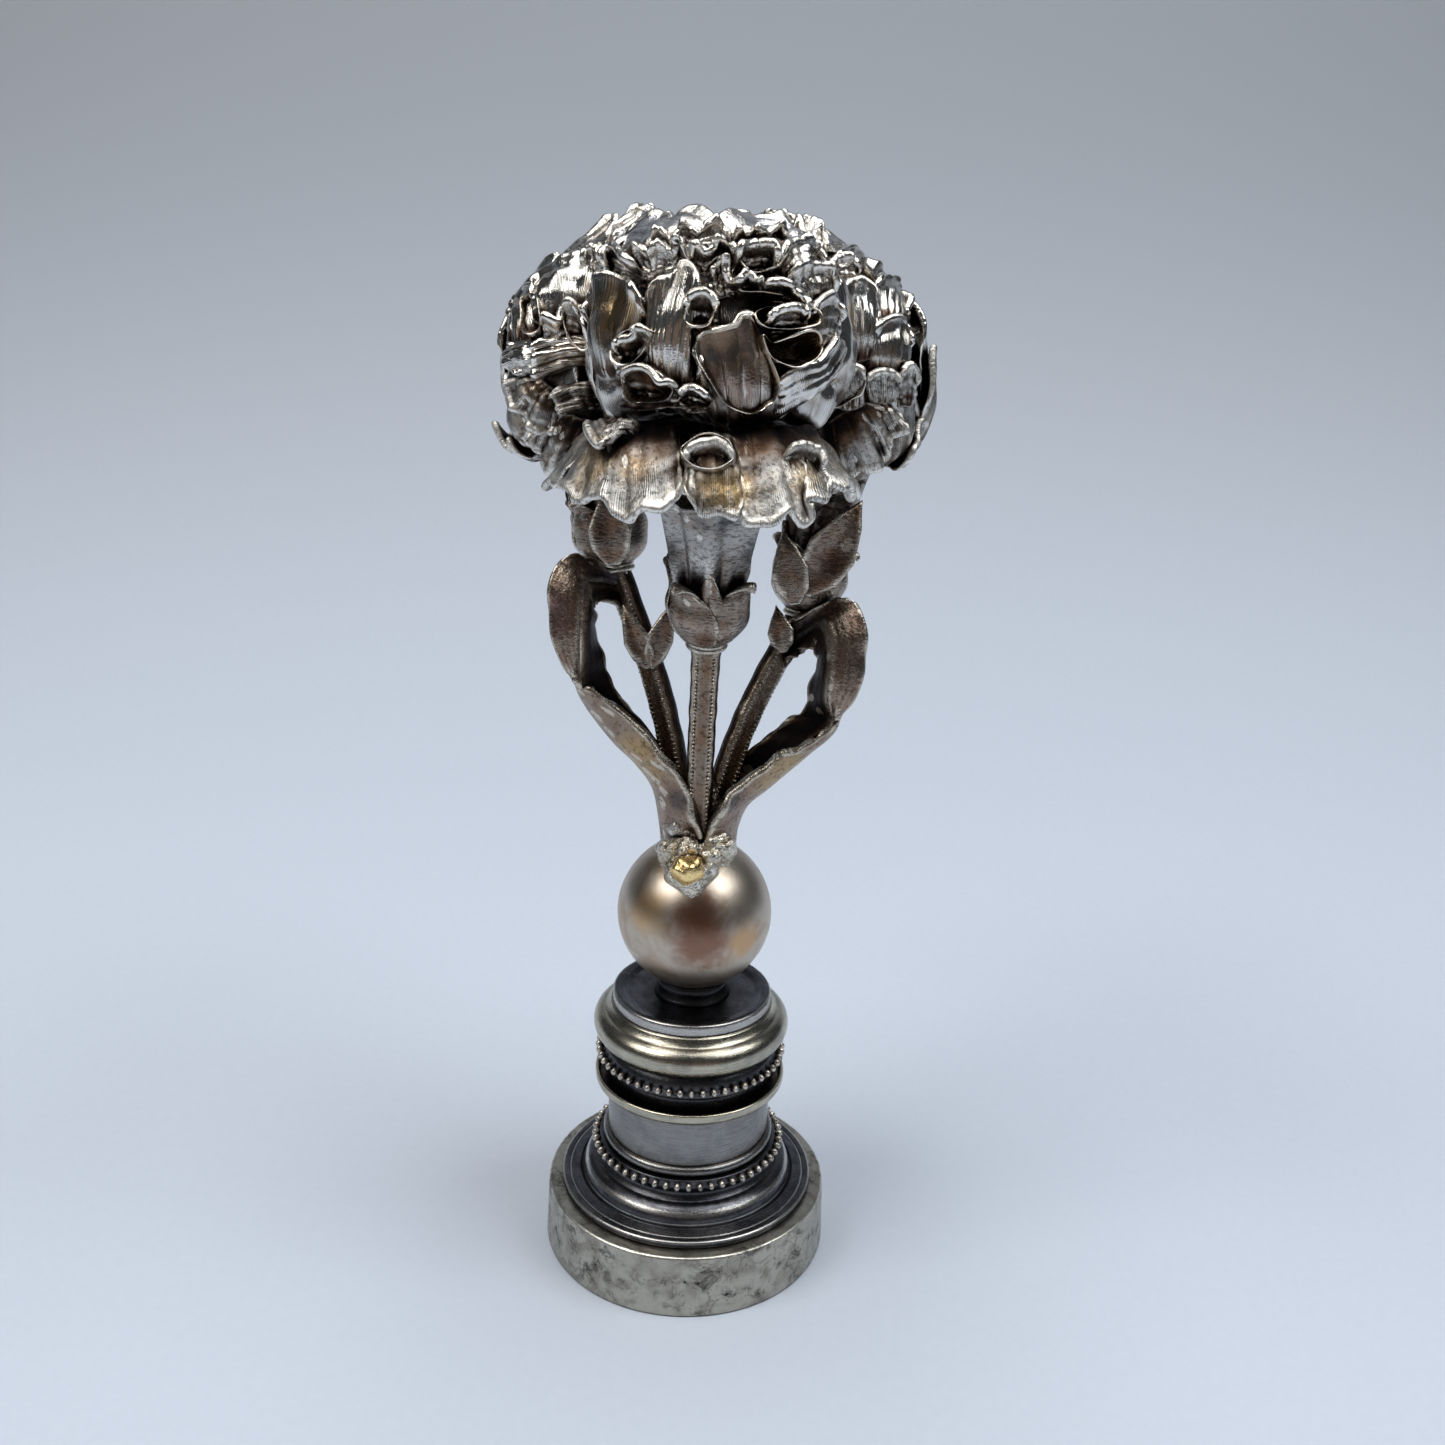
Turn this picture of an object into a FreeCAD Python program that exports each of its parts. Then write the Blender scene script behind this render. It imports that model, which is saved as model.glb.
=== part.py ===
import FreeCAD, Part
import math
import os
import Sketcher
from FreeCAD import Placement, Rotation, Vector

# Desk seal: a turned foot carries a ball and a cast bouquet of three carnations.
# Frame: origin on the axis in the middle of the seal face, +Z up, front at -Y.
# Lengths are in millimetres and angles in degrees.

SIZES = {
    # Seal matrix, the drum whose underside is the seal face
    "matrix_radius": 11.2,
    "matrix_top_radius": 11.0,
    "matrix_height": 5.12,
    "matrix_bevel": 0.22,
    # Foot moulding: rim, flat, quarter round and cove
    "foot_radius": 9.95,
    "foot_rim_height": 0.6,
    "foot_rim_round": 0.26,
    "foot_flat_rise": 0.17,
    "foot_round_radius": 8.3,
    "foot_round_height": 1.3,
    "foot_waist_radius": 7.1,
    "foot_cove_height": 1.15,
    "foot_cove_depth": 0.34,
    # Beaded rings
    "bead_ring_radius": 7.02,
    "bead_radius": 7.62,
    "gallery_bead_radius": 7.4,
    "bead_height": 0.66,
    # Column and its base ring
    "base_ring_radius": 6.73,
    "base_ring_height": 0.84,
    "column_radius": 6.35,
    "column_height": 4.15,
    # Collar above the column, and the gallery with its second bead row
    "collar_radius": 7.42,
    "collar_height": 0.97,
    "collar_lip": 0.28,
    "collar_lip_depth": 0.3,
    "gallery_radius": 6.75,
    "gallery_height": 2.86,
    "gallery_bead_rise": 1.42,
    # Torus ring and stepped cap
    "torus_radius": 7.57,
    "torus_flat_radius": 6.95,
    "torus_height": 3.0,
    "cap_radius": 6.1,
    "cap_height": 0.96,
    "cap_edge": 0.35,
    "cap_dish_radius": 5.2,
    "cap_dish_depth": 0.34,
    # Ball and its seat
    "ball_radius": 5.86,
    "ball_gap": 0.61,
    "seat_radius": 2.6,
    # Neck of the bouquet on the ball, with its soldered tab
    "neck_radius": 2.72,
    "neck_waist_radius": 2.35,
    "neck_top_radius": 2.5,
    "neck_rise": 1.5,
    "tab_width": 3.3,
    "tab_length": 2.6,
    "tab_thickness": 0.5,
    "tab_gap": 0.32,
    # Stems, and the web between them
    "web_height": 3.6,
    "stem_start": 1.25,
    "stem_width": 1.9,
    "stem_depth": 1.6,
    "stem_bow": 0.9,
    "front_stem_reach": 6.25,
    "front_stem_rise": 15.2,
    "left_stem_reach": 7.5,
    "left_stem_rise": 17.9,
    "right_stem_reach": 8.3,
    "right_stem_rise": 14.9,
    # Calyxes and their cups of sepals
    "ring_radius": 1.42,
    "ring_height": 0.55,
    "calyx_foot_radius": 1.05,
    "calyx_waist_radius": 2.0,
    "calyx_mouth_radius": 2.75,
    "front_calyx_length": 9.6,
    "left_calyx_length": 7.4,
    "right_calyx_length": 10.3,
    "cup_radius": 2.55,
    "cup_height": 4.7,
    "cup_foot_radius": 1.35,
    "cup_wall": 0.36,
    "cup_horn": 0.9,
    # Leaves and bracts
    "leaf_width": 4.0,
    "leaf_fold": 2.0,
    "leaf_thickness": 0.55,
    "left_leaf_reach": 11.0,
    "left_leaf_rise": 18.7,
    "right_leaf_reach": 11.5,
    "right_leaf_rise": 16.2,
    "bract_length": 5.0,
    "bract_width": 1.9,
    "bract_thickness": 0.4,
    "bract_stand": 1.15,
    # Blossoms and their petals
    "front_blossom_radius": 7.4,
    "front_blossom_height": 16.4,
    "left_blossom_radius": 7.3,
    "left_blossom_height": 17.8,
    "right_blossom_radius": 7.2,
    "right_blossom_height": 18.3,
    "petal_thickness": 0.5,
    "petal_bulge_depth": 0.6,
    "petal_ruffle": 0.5,
    "petal_lap": 0.35,
    "petal_notch": 0.9,
}

# Each sprig: azimuth of its plane, then the outward lean of its calyx and of its blossom
SPRIG_ANGLES = {
    "front": (-88.0, 10.0, -9.0),
    "left": (150.0, 12.0, -12.0),
    "right": (30.0, 10.0, -18.0),
}

BEAD_COUNT = 53
BALL_STEPS = 5
ROUND_STEPS = 3
SEPAL_COUNT = 5
TUBE_SIDES = 12
RING_SIDES = 14


class Size:
    """A value from the sheet together with the expression that binds it."""

    def __init__(self, value, formula):
        self.value = value
        self.formula = formula

    @staticmethod
    def parts_of(other):
        """Value and expression of a Size or of a plain number."""
        if isinstance(other, Size):
            return other.value, other.formula
        return other, repr(other)

    def __add__(self, other):
        value, formula = Size.parts_of(other)
        return Size(self.value + value, f"({self.formula} + {formula})")

    def __sub__(self, other):
        value, formula = Size.parts_of(other)
        return Size(self.value - value, f"({self.formula} - {formula})")

    def __mul__(self, other):
        value, formula = Size.parts_of(other)
        return Size(self.value * value, f"({self.formula} * {formula})")

    def __truediv__(self, other):
        value, formula = Size.parts_of(other)
        return Size(self.value / value, f"({self.formula} / {formula})")

    def __neg__(self):
        return Size(-self.value, f"(-1 * {self.formula})")


def size(name):
    """The named size, as a value that also knows its cell."""
    return Size(SIZES[name], "Sizes." + name)


doc = FreeCAD.newDocument("desk_seal")
sheet = doc.addObject("Spreadsheet::Sheet", "Sizes")
for row, (alias, number) in enumerate(SIZES.items(), start=1):
    sheet.set(f"A{row}", alias)
    sheet.set(f"B{row}", str(number))
    sheet.setAlias(f"B{row}", alias)
doc.recompute()

ZERO = Size(0.0, "0")
PIECES = []


def keep(piece, label):
    """Lists a finished piece under the name of its node."""
    piece.Label = label
    PIECES.append(piece)
    return piece


# Turned pieces: outlines of (radius, height) corners around the axis

def flat(corner):
    """Sketch vector of a (radius, height) pair."""
    return Vector(corner[0].value, corner[1].value, 0)


def fix_corner(sketch, edge, corner):
    """Ties the start of an edge to the axis and to the seal face."""
    for kind, axis_line, value in (("DistanceX", -2, corner[0]), ("DistanceY", -1, corner[1])):
        if value.formula == ZERO.formula:
            sketch.addConstraint(Sketcher.Constraint("PointOnObject", edge, 1, axis_line))
            continue
        index = sketch.addConstraint(Sketcher.Constraint(kind, -1, 1, edge, 1, value.value))
        sketch.setExpression(f"Constraints[{index}]", value.formula)


def turned(label, corners):
    """Body turned about the axis from a closed outline."""
    body = doc.addObject("PartDesign::Body", label)
    plane = [item for item in body.Origin.OriginFeatures if item.Role == "XZ_Plane"][0]
    sketch = body.newObject("Sketcher::SketchObject", label + "_outline")
    sketch.AttachmentSupport = [(plane, "")]
    sketch.MapMode = "FlatFace"
    after = corners[1:] + corners[:1]
    for edge, (here, there) in enumerate(zip(corners, after)):
        sketch.addGeometry(Part.LineSegment(flat(here), flat(there)), False)
        fix_corner(sketch, edge, here)
    for edge in range(len(corners)):
        following = (edge + 1) % len(corners)
        sketch.addConstraint(Sketcher.Constraint("Coincident", edge, 2, following, 1))
    turning = body.newObject("PartDesign::Revolution", label + "_turning")
    turning.Profile = sketch
    turning.ReferenceAxis = (sketch, ["V_Axis"])
    turning.Angle = 360
    body.Tip = turning
    return body


def quarter(wide, narrow, steps, hollow=False):
    """Corners of a quarter round, or hollow, between two corners of an outline."""
    corners = []
    for step in range(1, steps):
        angle = math.pi / 2 * step / steps
        share = 1 - math.sin(angle) if hollow else math.cos(angle)
        rise_share = 1 - math.cos(angle) if hollow else math.sin(angle)
        corners.append(
            (
                narrow[0] + (wide[0] - narrow[0]) * share,
                wide[1] + (narrow[1] - wide[1]) * rise_share,
            )
        )
    return corners


# Seal matrix: plain drum, its bare face below

matrix_top = size("matrix_height")
bevel = size("matrix_bevel")
matrix = turned(
    "matrix_turned",
    [
        (ZERO, ZERO),
        (size("matrix_radius"), ZERO),
        (size("matrix_top_radius"), matrix_top - bevel),
        (size("matrix_top_radius") - bevel, matrix_top),
        (ZERO, matrix_top),
    ],
)
keep(matrix, "seal_matrix")

# Foot moulding: rim, flat, quarter round and cove

rim_top = matrix_top + size("foot_rim_height")
flat_top = rim_top + size("foot_flat_rise")
round_top = flat_top + size("foot_round_height")
foot_top = round_top + size("foot_cove_height")
rim_round = size("foot_rim_round")
waist = size("foot_waist_radius")
cove = waist - size("foot_cove_depth")
round_foot = (size("foot_round_radius"), flat_top)
cove_middle = round_top + size("foot_cove_height") / 2
foot_outline = [
    (ZERO, matrix_top),
    (size("foot_radius"), matrix_top),
    (size("foot_radius"), rim_top - rim_round),
    (size("foot_radius") - rim_round, rim_top),
    round_foot,
]
foot_outline += quarter(round_foot, (waist, round_top), ROUND_STEPS)
foot_outline += [
    (waist, round_top),
    (cove, cove_middle),
    (waist, foot_top),
    (ZERO, foot_top),
]
keep(turned("foot_turned", foot_outline), "foot_moulding")

# Beaded rings: a rim with one bead after another round it

BEAD_FLANK_SHARE = 0.27


def beaded_rim(seat, crown):
    """Closed outline of a ring whose rim carries the beads."""
    corners = []
    for bead in range(BEAD_COUNT):
        for turn, radius in ((-BEAD_FLANK_SHARE, crown), (BEAD_FLANK_SHARE, crown), (1 / 2, seat)):
            angle = math.tau * (bead + turn) / BEAD_COUNT
            corners.append(Vector(radius * math.cos(angle), radius * math.sin(angle), 0))
    return Part.makePolygon(corners + corners[:1])


def beaded_ring(label, hole, seat, crown, floor):
    """Flat ring with a beaded rim, open inside where it has a hole."""
    rim = Part.Face(beaded_rim(seat.value, crown.value))
    rise = Vector(0, 0, size("bead_height").value)
    solid = rim.extrude(rise)
    if hole.value > 0:
        solid = solid.cut(Part.makeCylinder(hole.value, rise.z))
    ring = doc.addObject("Part::Feature", label)
    ring.Shape = solid
    ring.Placement = Placement(Vector(0, 0, floor.value), Rotation())
    return keep(ring, label)


foot_beads_top = foot_top + size("bead_height")
beaded_ring("foot_bead_ring", ZERO, size("bead_ring_radius"), size("bead_radius"), foot_top)

# Column with its half-round base ring

base_ring_top = foot_beads_top + size("base_ring_height")
half_round = size("base_ring_height") / 2
ring_edge = size("base_ring_radius") - half_round
base_ring_low = (ring_edge + half_round / 2, foot_beads_top)
base_ring_wide = (size("base_ring_radius"), foot_beads_top + half_round)
base_ring_high = (ring_edge, base_ring_top)
base_ring = turned(
    "base_ring_turned",
    [(ZERO, foot_beads_top), base_ring_low, base_ring_wide]
    + quarter(base_ring_wide, base_ring_high, ROUND_STEPS)
    + [base_ring_high, (ZERO, base_ring_top)],
)
keep(base_ring, "column_base_ring")


def drum(label, radius, low, high):
    """Plain turned drum."""
    return turned(label, [(ZERO, low), (radius, low), (radius, high), (ZERO, high)])


column_top = base_ring_top + size("column_height")
column = drum("column_turned", size("column_radius"), base_ring_top, column_top)
keep(column, "column")

# Collar with a raised lip, and the drum and beads of the gallery in it

collar_top = column_top + size("collar_height")
lip = size("collar_lip")
gallery_floor = collar_top - size("collar_lip_depth")
collar = turned(
    "collar_turned",
    [
        (ZERO, column_top),
        (size("collar_radius") - lip, column_top),
        (size("collar_radius"), column_top + lip),
        (size("collar_radius"), collar_top - lip / 2),
        (size("collar_radius") - lip / 2, collar_top),
        (size("collar_radius") - lip, gallery_floor),
        (ZERO, gallery_floor),
    ],
)
keep(collar, "collar")
gallery_top = collar_top + size("gallery_height")
gallery = drum("gallery_turned", size("gallery_radius"), gallery_floor, gallery_top)
keep(gallery, "gallery_drum")
gallery_seat = size("gallery_radius") + (size("gallery_bead_radius") - size("gallery_radius")) / 2
beaded_ring(
    "gallery_bead_ring",
    size("gallery_radius"),
    gallery_seat,
    size("gallery_bead_radius"),
    collar_top + size("gallery_bead_rise"),
)

# Torus ring and stepped cap with a dished top

torus_top = gallery_top + size("torus_height")
torus_middle = gallery_top + size("torus_height") / 2
torus_wide = (size("torus_radius"), torus_middle)
torus_low = (size("torus_flat_radius"), gallery_top)
torus_high = (size("cap_radius"), torus_top)
torus_bulge = quarter(torus_wide, torus_low, ROUND_STEPS)
torus = turned(
    "torus_turned",
    [(ZERO, gallery_top), torus_low]
    + torus_bulge[::-1]
    + [torus_wide]
    + quarter(torus_wide, torus_high, ROUND_STEPS + 1)
    + [torus_high, (ZERO, torus_top)],
)
keep(torus, "torus_ring")
cap_top = torus_top + size("cap_height")
dish_floor = cap_top - size("cap_dish_depth")
cap = turned(
    "cap_turned",
    [
        (ZERO, torus_top),
        (size("cap_radius"), torus_top),
        (size("cap_radius"), cap_top - size("cap_edge")),
        (size("cap_radius") - size("cap_edge"), cap_top),
        (size("cap_dish_radius"), cap_top),
        (size("cap_dish_radius") - size("cap_dish_depth"), dish_floor),
        (ZERO, dish_floor),
    ],
)
keep(cap, "stepped_cap")

# Ball, turned in even steps, between its seat and the neck of the bouquet

ball_middle = cap_top + size("ball_gap") + size("ball_radius")
ball_top = ball_middle + size("ball_radius")
LATITUDE_STEP = 90 / BALL_STEPS
LAST_LATITUDE = 90 - LATITUDE_STEP
LAST_SLOPE = math.tan(math.radians(LATITUDE_STEP * 1.5))


def ball_corner(latitude):
    """Corner of the ball's outline at a latitude in degrees."""
    return (
        size("ball_radius") * math.cos(math.radians(latitude)),
        ball_middle + size("ball_radius") * math.sin(math.radians(latitude)),
    )


def ball_landing(radius, up):
    """Corner at a radius on the ball's last sloping step, above or below."""
    step_radius, step_height = ball_corner(LAST_LATITUDE * up)
    return (radius, step_height - (radius - step_radius) * (LAST_SLOPE * up))


latitudes = [LATITUDE_STEP * step for step in range(1 - BALL_STEPS, BALL_STEPS)]
ball = turned(
    "ball_turned",
    [(ZERO, ball_middle - size("ball_radius"))]
    + [ball_corner(latitude) for latitude in latitudes]
    + [(ZERO, ball_top)],
)
keep(ball, "ball")

seat = turned(
    "seat_turned",
    [
        (ZERO, dish_floor),
        (size("seat_radius"), dish_floor),
        ball_landing(size("seat_radius"), -1),
        ball_corner(-LAST_LATITUDE),
        (ZERO, ball_middle - size("ball_radius")),
    ],
)
keep(seat, "ball_seat")

neck_top = ball_top + size("neck_rise")
neck = turned(
    "neck_turned",
    [
        (ZERO, ball_top),
        ball_corner(LAST_LATITUDE),
        ball_landing(size("neck_radius"), 1),
        (size("neck_waist_radius"), ball_top + size("neck_rise") / 3),
        (size("neck_top_radius"), neck_top),
        (ZERO, neck_top),
    ],
)
keep(neck, "bouquet_neck")


# Cast pieces: thin sheets between two faces that follow a grid of points

def planar(corners):
    """Flat face of its corners."""
    return Part.Face(Part.makePolygon(list(corners) + [corners[0]]))


def quad(a, b, c, d):
    """Two faces that fill four corners."""
    return [planar((a, b, c)), planar((a, c, d))]


def sewn(faces):
    """Solid closed by faces that meet edge to edge."""
    shell = Part.makeShell(faces)
    shell.sewShape()
    whole = shell if shell.ShapeType == "Shell" else shell.Shells[0]
    solid = Part.makeSolid(whole)
    if solid.Volume < 0:
        solid.reverse()
    return solid


def grid_normals(grid, closed):
    """Unit normal of a grid at each of its points."""
    rows = len(grid)
    columns = len(grid[0])
    normals = []
    for i in range(rows):
        line = []
        for j in range(columns):
            above = grid[min(i + 1, rows - 1)][j]
            below = grid[max(i - 1, 0)][j]
            if closed:
                after = grid[i][(j + 1) % columns]
                before = grid[i][(j - 1) % columns]
            else:
                after = grid[i][min(j + 1, columns - 1)]
                before = grid[i][max(j - 1, 0)]
            line.append((after - before).cross(above - below).normalize())
        normals.append(line)
    return normals


def sheet_solid(grid, thickness, closed=False):
    """Solid sheet of even thickness about a grid, closed round where asked."""
    normals = grid_normals(grid, closed)
    outer = []
    inner = []
    for points, directions in zip(grid, normals):
        outer.append([p + n * (thickness / 2) for p, n in zip(points, directions)])
        inner.append([p - n * (thickness / 2) for p, n in zip(points, directions)])
    rows = len(grid)
    columns = len(grid[0])
    spans = columns if closed else columns - 1
    faces = []
    for j in range(spans):
        k = (j + 1) % columns
        for i in range(rows - 1):
            faces += quad(outer[i][j], outer[i][k], outer[i + 1][k], outer[i + 1][j])
            faces += quad(inner[i][k], inner[i][j], inner[i + 1][j], inner[i + 1][k])
        faces += quad(inner[0][j], inner[0][k], outer[0][k], outer[0][j])
        faces += quad(outer[-1][j], outer[-1][k], inner[-1][k], inner[-1][j])
    if not closed:
        for i in range(rows - 1):
            faces += quad(inner[i][0], outer[i][0], outer[i + 1][0], inner[i + 1][0])
            faces += quad(outer[i][-1], inner[i][-1], inner[i + 1][-1], outer[i + 1][-1])
    return sewn(faces)


def ringed_solid(rings):
    """Solid with flat sides through rings of equally many points."""
    faces = [planar(rings[0]), planar(rings[-1])]
    sides = len(rings[0])
    for lower, upper in zip(rings, rings[1:]):
        for k in range(sides):
            after = (k + 1) % sides
            faces += quad(lower[k], lower[after], upper[after], upper[k])
    return sewn(faces)


def cast(label, shape, placement=Placement()):
    """Piece whose shape is set here, placed after its shape."""
    piece = doc.addObject("Part::Feature", label)
    piece.Shape = shape
    piece.Placement = placement
    return keep(piece, label)


def ring_of(radius, sides, height, turn=0.0):
    """Points evenly round the axis at a height."""
    return [
        Vector(
            radius * math.cos(math.tau * (k + turn) / sides),
            radius * math.sin(math.tau * (k + turn) / sides),
            height,
        )
        for k in range(sides)
    ]


def many_sided(levels, sides, turn=0.0):
    """Straight-sided body through rings of (radius, height)."""
    return ringed_solid([ring_of(radius, sides, height, turn) for radius, height in levels])


# Sprigs: where the stems, calyxes and blossoms stand

class Sprig:
    """Places along one stem, from the neck to the foot of its blossom."""

    def __init__(self, name):
        self.name = name
        azimuth, calyx_lean, blossom_lean = SPRIG_ANGLES[name]
        self.turn = Rotation(Vector(0, 0, 1), azimuth)
        self.outward = self.turn.multVec(Vector(1, 0, 0))
        self.side = self.turn.multVec(Vector(0, 1, 0))
        self.root = self.outward * size("stem_start").value + Vector(0, 0, neck_top.value)
        self.stem_top = self.outward * self.own("stem_reach") + Vector(
            0, 0, neck_top.value + self.own("stem_rise")
        )
        self.calyx_turn = self.leaning(calyx_lean)
        self.calyx_axis = self.calyx_turn.multVec(Vector(0, 0, 1))
        self.calyx_foot = self.stem_top + self.calyx_axis * size("ring_height").value
        self.mouth = self.calyx_foot + self.calyx_axis * self.own("calyx_length")
        self.blossom_turn = self.leaning(blossom_lean)

    def own(self, measure):
        """Value of a size that each sprig has for itself."""
        return size(self.name + "_" + measure).value

    def leaning(self, lean):
        """Rotation that turns +Z to lean outwards in the sprig's plane."""
        return self.turn.multiply(Rotation(Vector(0, 1, 0), lean))

    def stem_middle(self, share):
        """Middle of the stem at a share of its height."""
        bow = size("stem_bow").value * math.sin(math.pi * share)
        return self.root + (self.stem_top - self.root) * share - self.outward * bow


STEM_STEP_SHARES = (0.0, 0.25, 0.6, 1.0)
BAR_CORNER_SHARES = ((1, 0.35), (0.5, 1), (-0.5, 1), (-1, 0.35), (-1, -1), (1, -1))


def bar_section(middle, outward, across, width, depth):
    """Level section of a bar that is rounded on its outer side."""
    return [
        middle + across * (width / 2 * u) + outward * (depth / 2 * v)
        for u, v in BAR_CORNER_SHARES
    ]


def stem_shape(sprig):
    """Bar that bows from the neck to the calyx ring."""
    sections = [
        bar_section(
            sprig.stem_middle(share),
            sprig.outward,
            sprig.side,
            size("stem_width").value,
            size("stem_depth").value,
        )
        for share in STEM_STEP_SHARES
    ]
    return ringed_solid(sections)


CUP_ROW_SHARES = ((0.02, 0.0), (0.72, 0.2), (1.0, 0.5), (0.94, 0.72))
CUP_NOTCH_SHARE = 0.82


def cup_shape():
    """Cup of pointed sepals with their tips turned out."""
    wall = size("cup_wall").value
    foot_radius = size("cup_foot_radius").value
    radius = size("cup_radius").value - wall / 2
    height = size("cup_height").value
    sides = 3 * SEPAL_COUNT
    grid = [
        ring_of(foot_radius + (radius - foot_radius) * radius_share, sides, height * height_share)
        for radius_share, height_share in CUP_ROW_SHARES
    ]
    tips = ring_of(radius + size("cup_horn").value, sides, height)
    notches = ring_of(radius, sides, height * CUP_NOTCH_SHARE)
    grid.append([tips[k] if k % 3 == 0 else notches[k] for k in range(sides)])
    return sheet_solid(grid, wall, closed=True)


# Whorls: rows of (radius share, height share) of the blossom's radius and height

DOMED_ROW_SHARES = {
    "guard": ((0.38, 0.03), (0.80, 0.27), (1.12, 0.21), (1.26, 0.03)),
    "side": ((0.84, 0.30), (1.00, 0.42), (1.08, 0.55), (1.09, 0.66), (1.02, 0.77)),
    "crown": ((0.80, 0.68), (0.82, 0.79), (0.80, 0.88), (0.70, 0.95)),
    "heart": ((0.30, 0.90), (0.52, 0.93), (0.46, 0.97), (0.50, 1.00)),
    "core": (
        (0.30, 0.03),
        (0.50, 0.14),
        (0.66, 0.24),
        (0.78, 0.32),
        (0.90, 0.50),
        (0.73, 0.70),
        (0.60, 0.82),
        (0.42, 0.885),
    ),
}
BOWL_ROW_SHARES = {
    "guard": ((0.38, 0.045), (0.72, 0.06), (0.98, 0.14), (1.07, 0.28)),
    "side": ((0.70, 0.16), (0.80, 0.25), (0.98, 0.40), (1.00, 0.51), (0.92, 0.62)),
    "crown": ((0.70, 0.54), (0.70, 0.62), (0.76, 0.70), (0.60, 0.81)),
    "heart": ((0.22, 0.79), (0.46, 0.83), (0.40, 0.88), (0.44, 0.92)),
    "core": (
        (0.30, 0.03),
        (0.52, 0.08),
        (0.64, 0.16),
        (0.76, 0.27),
        (0.86, 0.42),
        (0.64, 0.56),
        (0.50, 0.70),
        (0.34, 0.775),
    ),
}
WHORLS = (
    ("guard", 7, 0.5, 1.0),
    ("side", 6, 0.2, 1.0),
    ("crown", 5, 0.6, 0.9),
    ("heart", 3, 0.3, 0.6),
)
CORE_SIDES = 12
SQUEEZE_SHARE = 0.3
PETAL_STEP_SHARES = (-0.92, -0.32, 0.32, 0.92)
RUFFLE_SHARES = (-0.3, 1.0, -0.8, 0.4)


def squeeze(angle):
    """Share of the radius left where a blossom meets its neighbours."""
    return 1 - SQUEEZE_SHARE * ((1 - math.cos(angle)) / 2) ** 3


def whorl_shape(radius, height, row_shares, petal_count, turn, ruffle_share):
    """Closed whorl of lapped petals with ruffled, notched rims."""
    ruffle = size("petal_ruffle").value * ruffle_share
    bulge = size("petal_bulge_depth").value * ruffle_share
    lap = size("petal_lap").value
    notch = size("petal_notch").value
    last = len(row_shares) - 1
    grid = []
    for i, (radius_share, height_share) in enumerate(row_shares):
        growth = (i / last) ** 2
        line = []
        for petal in range(petal_count):
            for u, wave in zip(PETAL_STEP_SHARES, RUFFLE_SHARES):
                angle = math.tau * (petal + u / 2 + turn) / petal_count
                swell = bulge * (1 - u * u) * (i > 0)
                out = radius * radius_share + swell + (lap * u + ruffle * wave) * growth
                out *= squeeze(angle)
                up = height * height_share - notch * growth * abs(u) ** 3
                line.append(Vector(out * math.cos(angle), out * math.sin(angle), up))
        grid.append(line)
    return sheet_solid(grid, size("petal_thickness").value, closed=True)


def core_shape(radius, height, row_shares):
    """Many-sided body that carries the whorls."""
    rings = []
    for radius_share, height_share in row_shares:
        ring = []
        for k in range(CORE_SIDES):
            angle = math.tau * k / CORE_SIDES
            out = radius * radius_share * squeeze(angle)
            ring.append(
                Vector(out * math.cos(angle), out * math.sin(angle), height * height_share)
            )
        rings.append(ring)
    return ringed_solid(rings)


def add_blossom(sprig, form):
    """Core and whorls of one blossom, set on the mouth of its calyx."""
    radius = sprig.own("blossom_radius")
    height = sprig.own("blossom_height")
    place = Placement(sprig.mouth, sprig.blossom_turn)
    cast(sprig.name + "_blossom_core", core_shape(radius, height, form["core"]), place)
    for whorl, count, turn, ruffle_share in WHORLS:
        shape = whorl_shape(radius, height, form[whorl], count, turn, ruffle_share)
        cast(f"{sprig.name}_{whorl}_petals", shape, place)


def add_sprig(name, form):
    """Stem, ring, calyx, cup and blossom of one sprig."""
    sprig = Sprig(name)
    cast(name + "_stem", stem_shape(sprig))
    ring_levels = [
        (size("ring_radius").value, height) for height in (0, size("ring_height").value)
    ]
    cast(
        name + "_calyx_ring",
        many_sided(ring_levels, RING_SIDES),
        Placement(sprig.stem_top, sprig.calyx_turn),
    )
    tube_levels = (
        (size("calyx_foot_radius").value, 0),
        (size("calyx_waist_radius").value, size("cup_height").value / 2),
        (size("calyx_waist_radius").value, size("cup_height").value),
        (size("calyx_mouth_radius").value, sprig.own("calyx_length")),
    )
    calyx_place = Placement(sprig.calyx_foot, sprig.calyx_turn)
    cast(name + "_calyx_tube", many_sided(tube_levels, TUBE_SIDES), calyx_place)
    cast(name + "_sepal_cup", cup_shape(), calyx_place)
    add_blossom(sprig, form)
    return sprig


sprigs = {
    "front": add_sprig("front", DOMED_ROW_SHARES),
    "left": add_sprig("left", BOWL_ROW_SHARES),
    "right": add_sprig("right", BOWL_ROW_SHARES),
}

# Leaves: a folded blade that turns its inner face to the front and curls over at its tip
# Rows of shares: reach, rise, side step, width, fold, then the turn of the section in degrees

LEFT_LEAF_ROW_SHARES = (
    (0.205, 0.000, 0.00, 0.55, 0.40, 0),
    (0.270, 0.100, 0.00, 0.60, 0.70, 0),
    (0.390, 0.195, 0.00, 0.66, 1.00, 0),
    (0.535, 0.285, 0.00, 0.72, 1.00, 6),
    (0.665, 0.410, 0.00, 0.78, 0.90, 22),
    (0.765, 0.555, 0.00, 0.86, 0.60, 42),
    (0.830, 0.710, 0.00, 0.95, 0.35, 56),
    (0.865, 0.845, 0.00, 1.00, 0.25, 62),
    (0.855, 0.940, 0.03, 0.90, 0.20, 58),
    (0.800, 1.000, 0.09, 0.78, 0.15, 44),
    (0.720, 0.985, 0.17, 0.62, 0.10, 22),
    (0.640, 0.900, 0.24, 0.45, 0.10, 8),
)
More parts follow.
